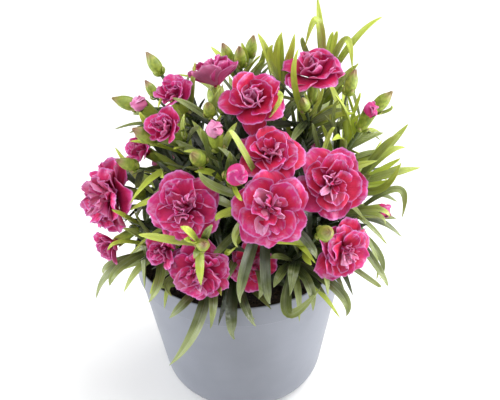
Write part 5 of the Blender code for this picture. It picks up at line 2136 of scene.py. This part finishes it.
@dataclass
class Peat:
    """The peat that fills the pot, with a crumbly top."""

    steps: int = 144
    rings: int = 44
    centre_r: float = 0.5
    side_slope: float = 0.185
    crease: float = 60.0
    crumbs: int = 650
    crumb_r: Range = (0.5, 1.7)
    crumb_lengths: tuple[float, ...] = (0.8, 1.0, 1.5, 4.5)
    seed: int = 11

    @property
    def top_r(self) -> float:
        """The radius of the peat's top."""
        return RIM_R - WALL - GAP - self.side_slope * (POT_H - SOIL_Z)

    def height(self, x: float, y: float) -> float:
        """The peat's height at a place."""
        coarse, fine = (noise.noise(Vector((x, y, 0)) / grain) for grain in (14, 4.5))
        return SOIL_Z + SOIL_RELIEF * (0.8 * coarse + 0.45 * fine - 0.1)

    def build(self, finish: Material) -> Piece:
        """Builds the peat and the crumbs that lie on it.

        Args:
            finish: The peat's material.

        Returns:
            The finished piece.
        """
        floor_z = FLOOR_Z + GAP
        top = [(self.top_r * share, SOIL_Z) for share in np.linspace(0.004, 1, self.rings)]
        waist = (BODY_TOP_R - WALL - GAP - 0.05, POT_H - BAND_H)
        side = corner(BODY_LOW_R - WALL - GAP, CORNER_H + 0.4, floor_z, 6, FOOT_R - 0.8)
        grid = rings_about([*top, waist, *side, (self.centre_r, floor_z)], self.steps)
        for ring in grid[: self.rings]:
            ring[:, 2] = [self.height(x, y) for x, y, _ in ring]
        patches = Patchwork()
        patches.body(grid, np.zeros_like(grid), (0, 0, 0), flip=True)
        self.scatter(patches)
        return hand_in(patches.build("peat_top", [finish], self.crease), "soil")

    def scatter(self, patches: Patchwork) -> None:
        """Adds crumbs and short fibres over the peat.

        Args:
            patches: Where they go.
        """
        draw = random.Random(self.seed)
        for _ in range(self.crumbs):
            turn, reach = draw.uniform(0, math.tau), (self.top_r - 2) * math.sqrt(draw.random())
            x, y = reach * math.cos(turn), reach * math.sin(turn)
            radius = draw.uniform(*self.crumb_r) * draw.uniform(0.5, 1)
            axis = facing((draw.uniform(0, 360), draw.uniform(0, 90)))
            at = np.array((x, y, self.height(x, y) + radius * 0.3))
            long = draw.choice(self.crumb_lengths)
            path = at + np.outer(np.array((-1, -0.55, 0.1, 0.7, 1)) * radius * long, axis)
            swell = np.array((0.25, 0.85, 1, 0.7, 0.2)) * radius * min(1, 1.6 / long)
            patches.tube(path, swell * draw.uniform(0.7, 1), (0, 0, 0), sides=6)


# ---- studio


@dataclass(frozen=True)
class Light:
    """A soft square light: its place and side in metres, its power in watts and its colour."""

    name: str
    at: Triple
    side: float
    power: float
    color: Color = (1.0, 1.0, 1.0)


LIGHTS = (
    Light("key", (0.50, 0.15, 1.10), 1.15, 15.5, (1.0, 0.99, 0.97)),
    Light("right", (1.10, -0.12, 0.42), 1.0, 11.6),
    Light("left", (-1.05, -0.12, 0.45), 0.8, 12.5, (0.98, 0.99, 1.0)),
    Light("front", (-0.15, -0.95, 1.00), 0.7, 5.0),
    Light("low right", (0.85, -0.05, 0.08), 0.3, 5.4),
    Light("low left", (-0.85, 0.00, 0.08), 0.3, 2.2, (0.98, 0.99, 1.0)),
)


@dataclass
class Studio:
    """A pale floor, soft lights and the camera, at the plant's viewing angle."""

    elevation: float = 33.1
    roll: float = -1.49
    target: Triple = (0.0062, 0.0, 0.1188)
    distance: float = 0.6
    focal_px: float = 1082.0
    frame_px: float = 500.0
    sensor: float = 36.0
    clip_start: float = 0.01
    floor_half: float = 4000.0
    floor_roughness: float = 0.9
    floor_color: Color = (0.90, 0.90, 0.90)
    sky: float = 0.30

    def add_camera(self) -> None:
        """Adds the camera."""
        tilt = Matrix.Rotation(math.radians(90 - self.elevation), 4, "X")
        roll = Matrix.Rotation(math.radians(self.roll), 4, "Z")
        back = Matrix.Translation((0, 0, self.distance))
        data = bpy.data.cameras.new("camera")
        data.sensor_width = self.sensor
        data.lens = self.focal_px / self.frame_px * self.sensor
        data.clip_start = self.clip_start
        camera = bpy.data.objects.new("camera", data)
        camera.matrix_world = Matrix.Translation(self.target) @ tilt @ roll @ back
        bpy.context.scene.collection.objects.link(camera)
        bpy.context.scene.camera = camera

    def add_light(self, light: Light) -> None:
        """Adds a light that looks at the plant.

        Args:
            light: The light.
        """
        data = bpy.data.lights.new(light.name, "AREA")
        data.size = light.side
        data.energy = light.power
        data.color = light.color
        lamp = bpy.data.objects.new(light.name, data)
        lamp.location = light.at
        lamp.rotation_mode = "QUATERNION"
        away = Vector(light.at) - Vector(self.target)
        lamp.rotation_quaternion = away.to_track_quat("Z", "Y")
        bpy.context.scene.collection.objects.link(lamp)

    def add_floor(self) -> None:
        """Adds the pale floor."""
        half = self.floor_half
        grid = np.array([(x, y, 0) for y in (-half, half) for x in (-half, half)], float)
        patches = Patchwork()
        patches.add(grid, np.array([[0, 1, 3, 2]]), np.zeros((4, 3)), (0, 0, 0))
        finish = Surface("floor", self.floor_roughness).paint(self.floor_color)
        floor = patches.build("floor", [finish])

    def add_sky(self) -> None:
        """Adds the even light that comes from all round."""
        world = bpy.data.worlds.new("studio")
        world.use_nodes = True
        background = world.node_tree.nodes["Background"]
        background.inputs["Color"].default_value = (1, 1, 1, 1)
        background.inputs["Strength"].default_value = self.sky
        bpy.context.scene.world = world
        bpy.context.scene.view_settings.view_transform = "Standard"

    def build(self) -> None:
        """Builds the studio."""
        self.add_camera()
        self.add_floor()
        for light in LIGHTS:
            self.add_light(light)
        self.add_sky()


def main() -> None:
    """Builds every piece of the plant, and the studio."""
    logging.basicConfig(level=logging.INFO, format="%(name)s %(message)s")
    Studio().build()
    Pot().build(PotFinish())
    Peat().build(PeatFinish().material())
    petal = PetalFinish().material()
    greens = [StemFinish().material(), LeafFinish().material(), BudFinish().material()]
    for shoot in SHOOTS:
        Sprig(shoot).build(greens)
        for head in shoot.heads:
            if head.kind in BLOOMS:
                fullness = Fullness.ROSETTE if head.name in ROSETTES else USUAL[head.kind]
                Bloom(head, fullness).build(petal)
            elif head.kind is PINK_BUD:
                BudTip(head).build(petal)


if __name__ == "__main__":
    main()
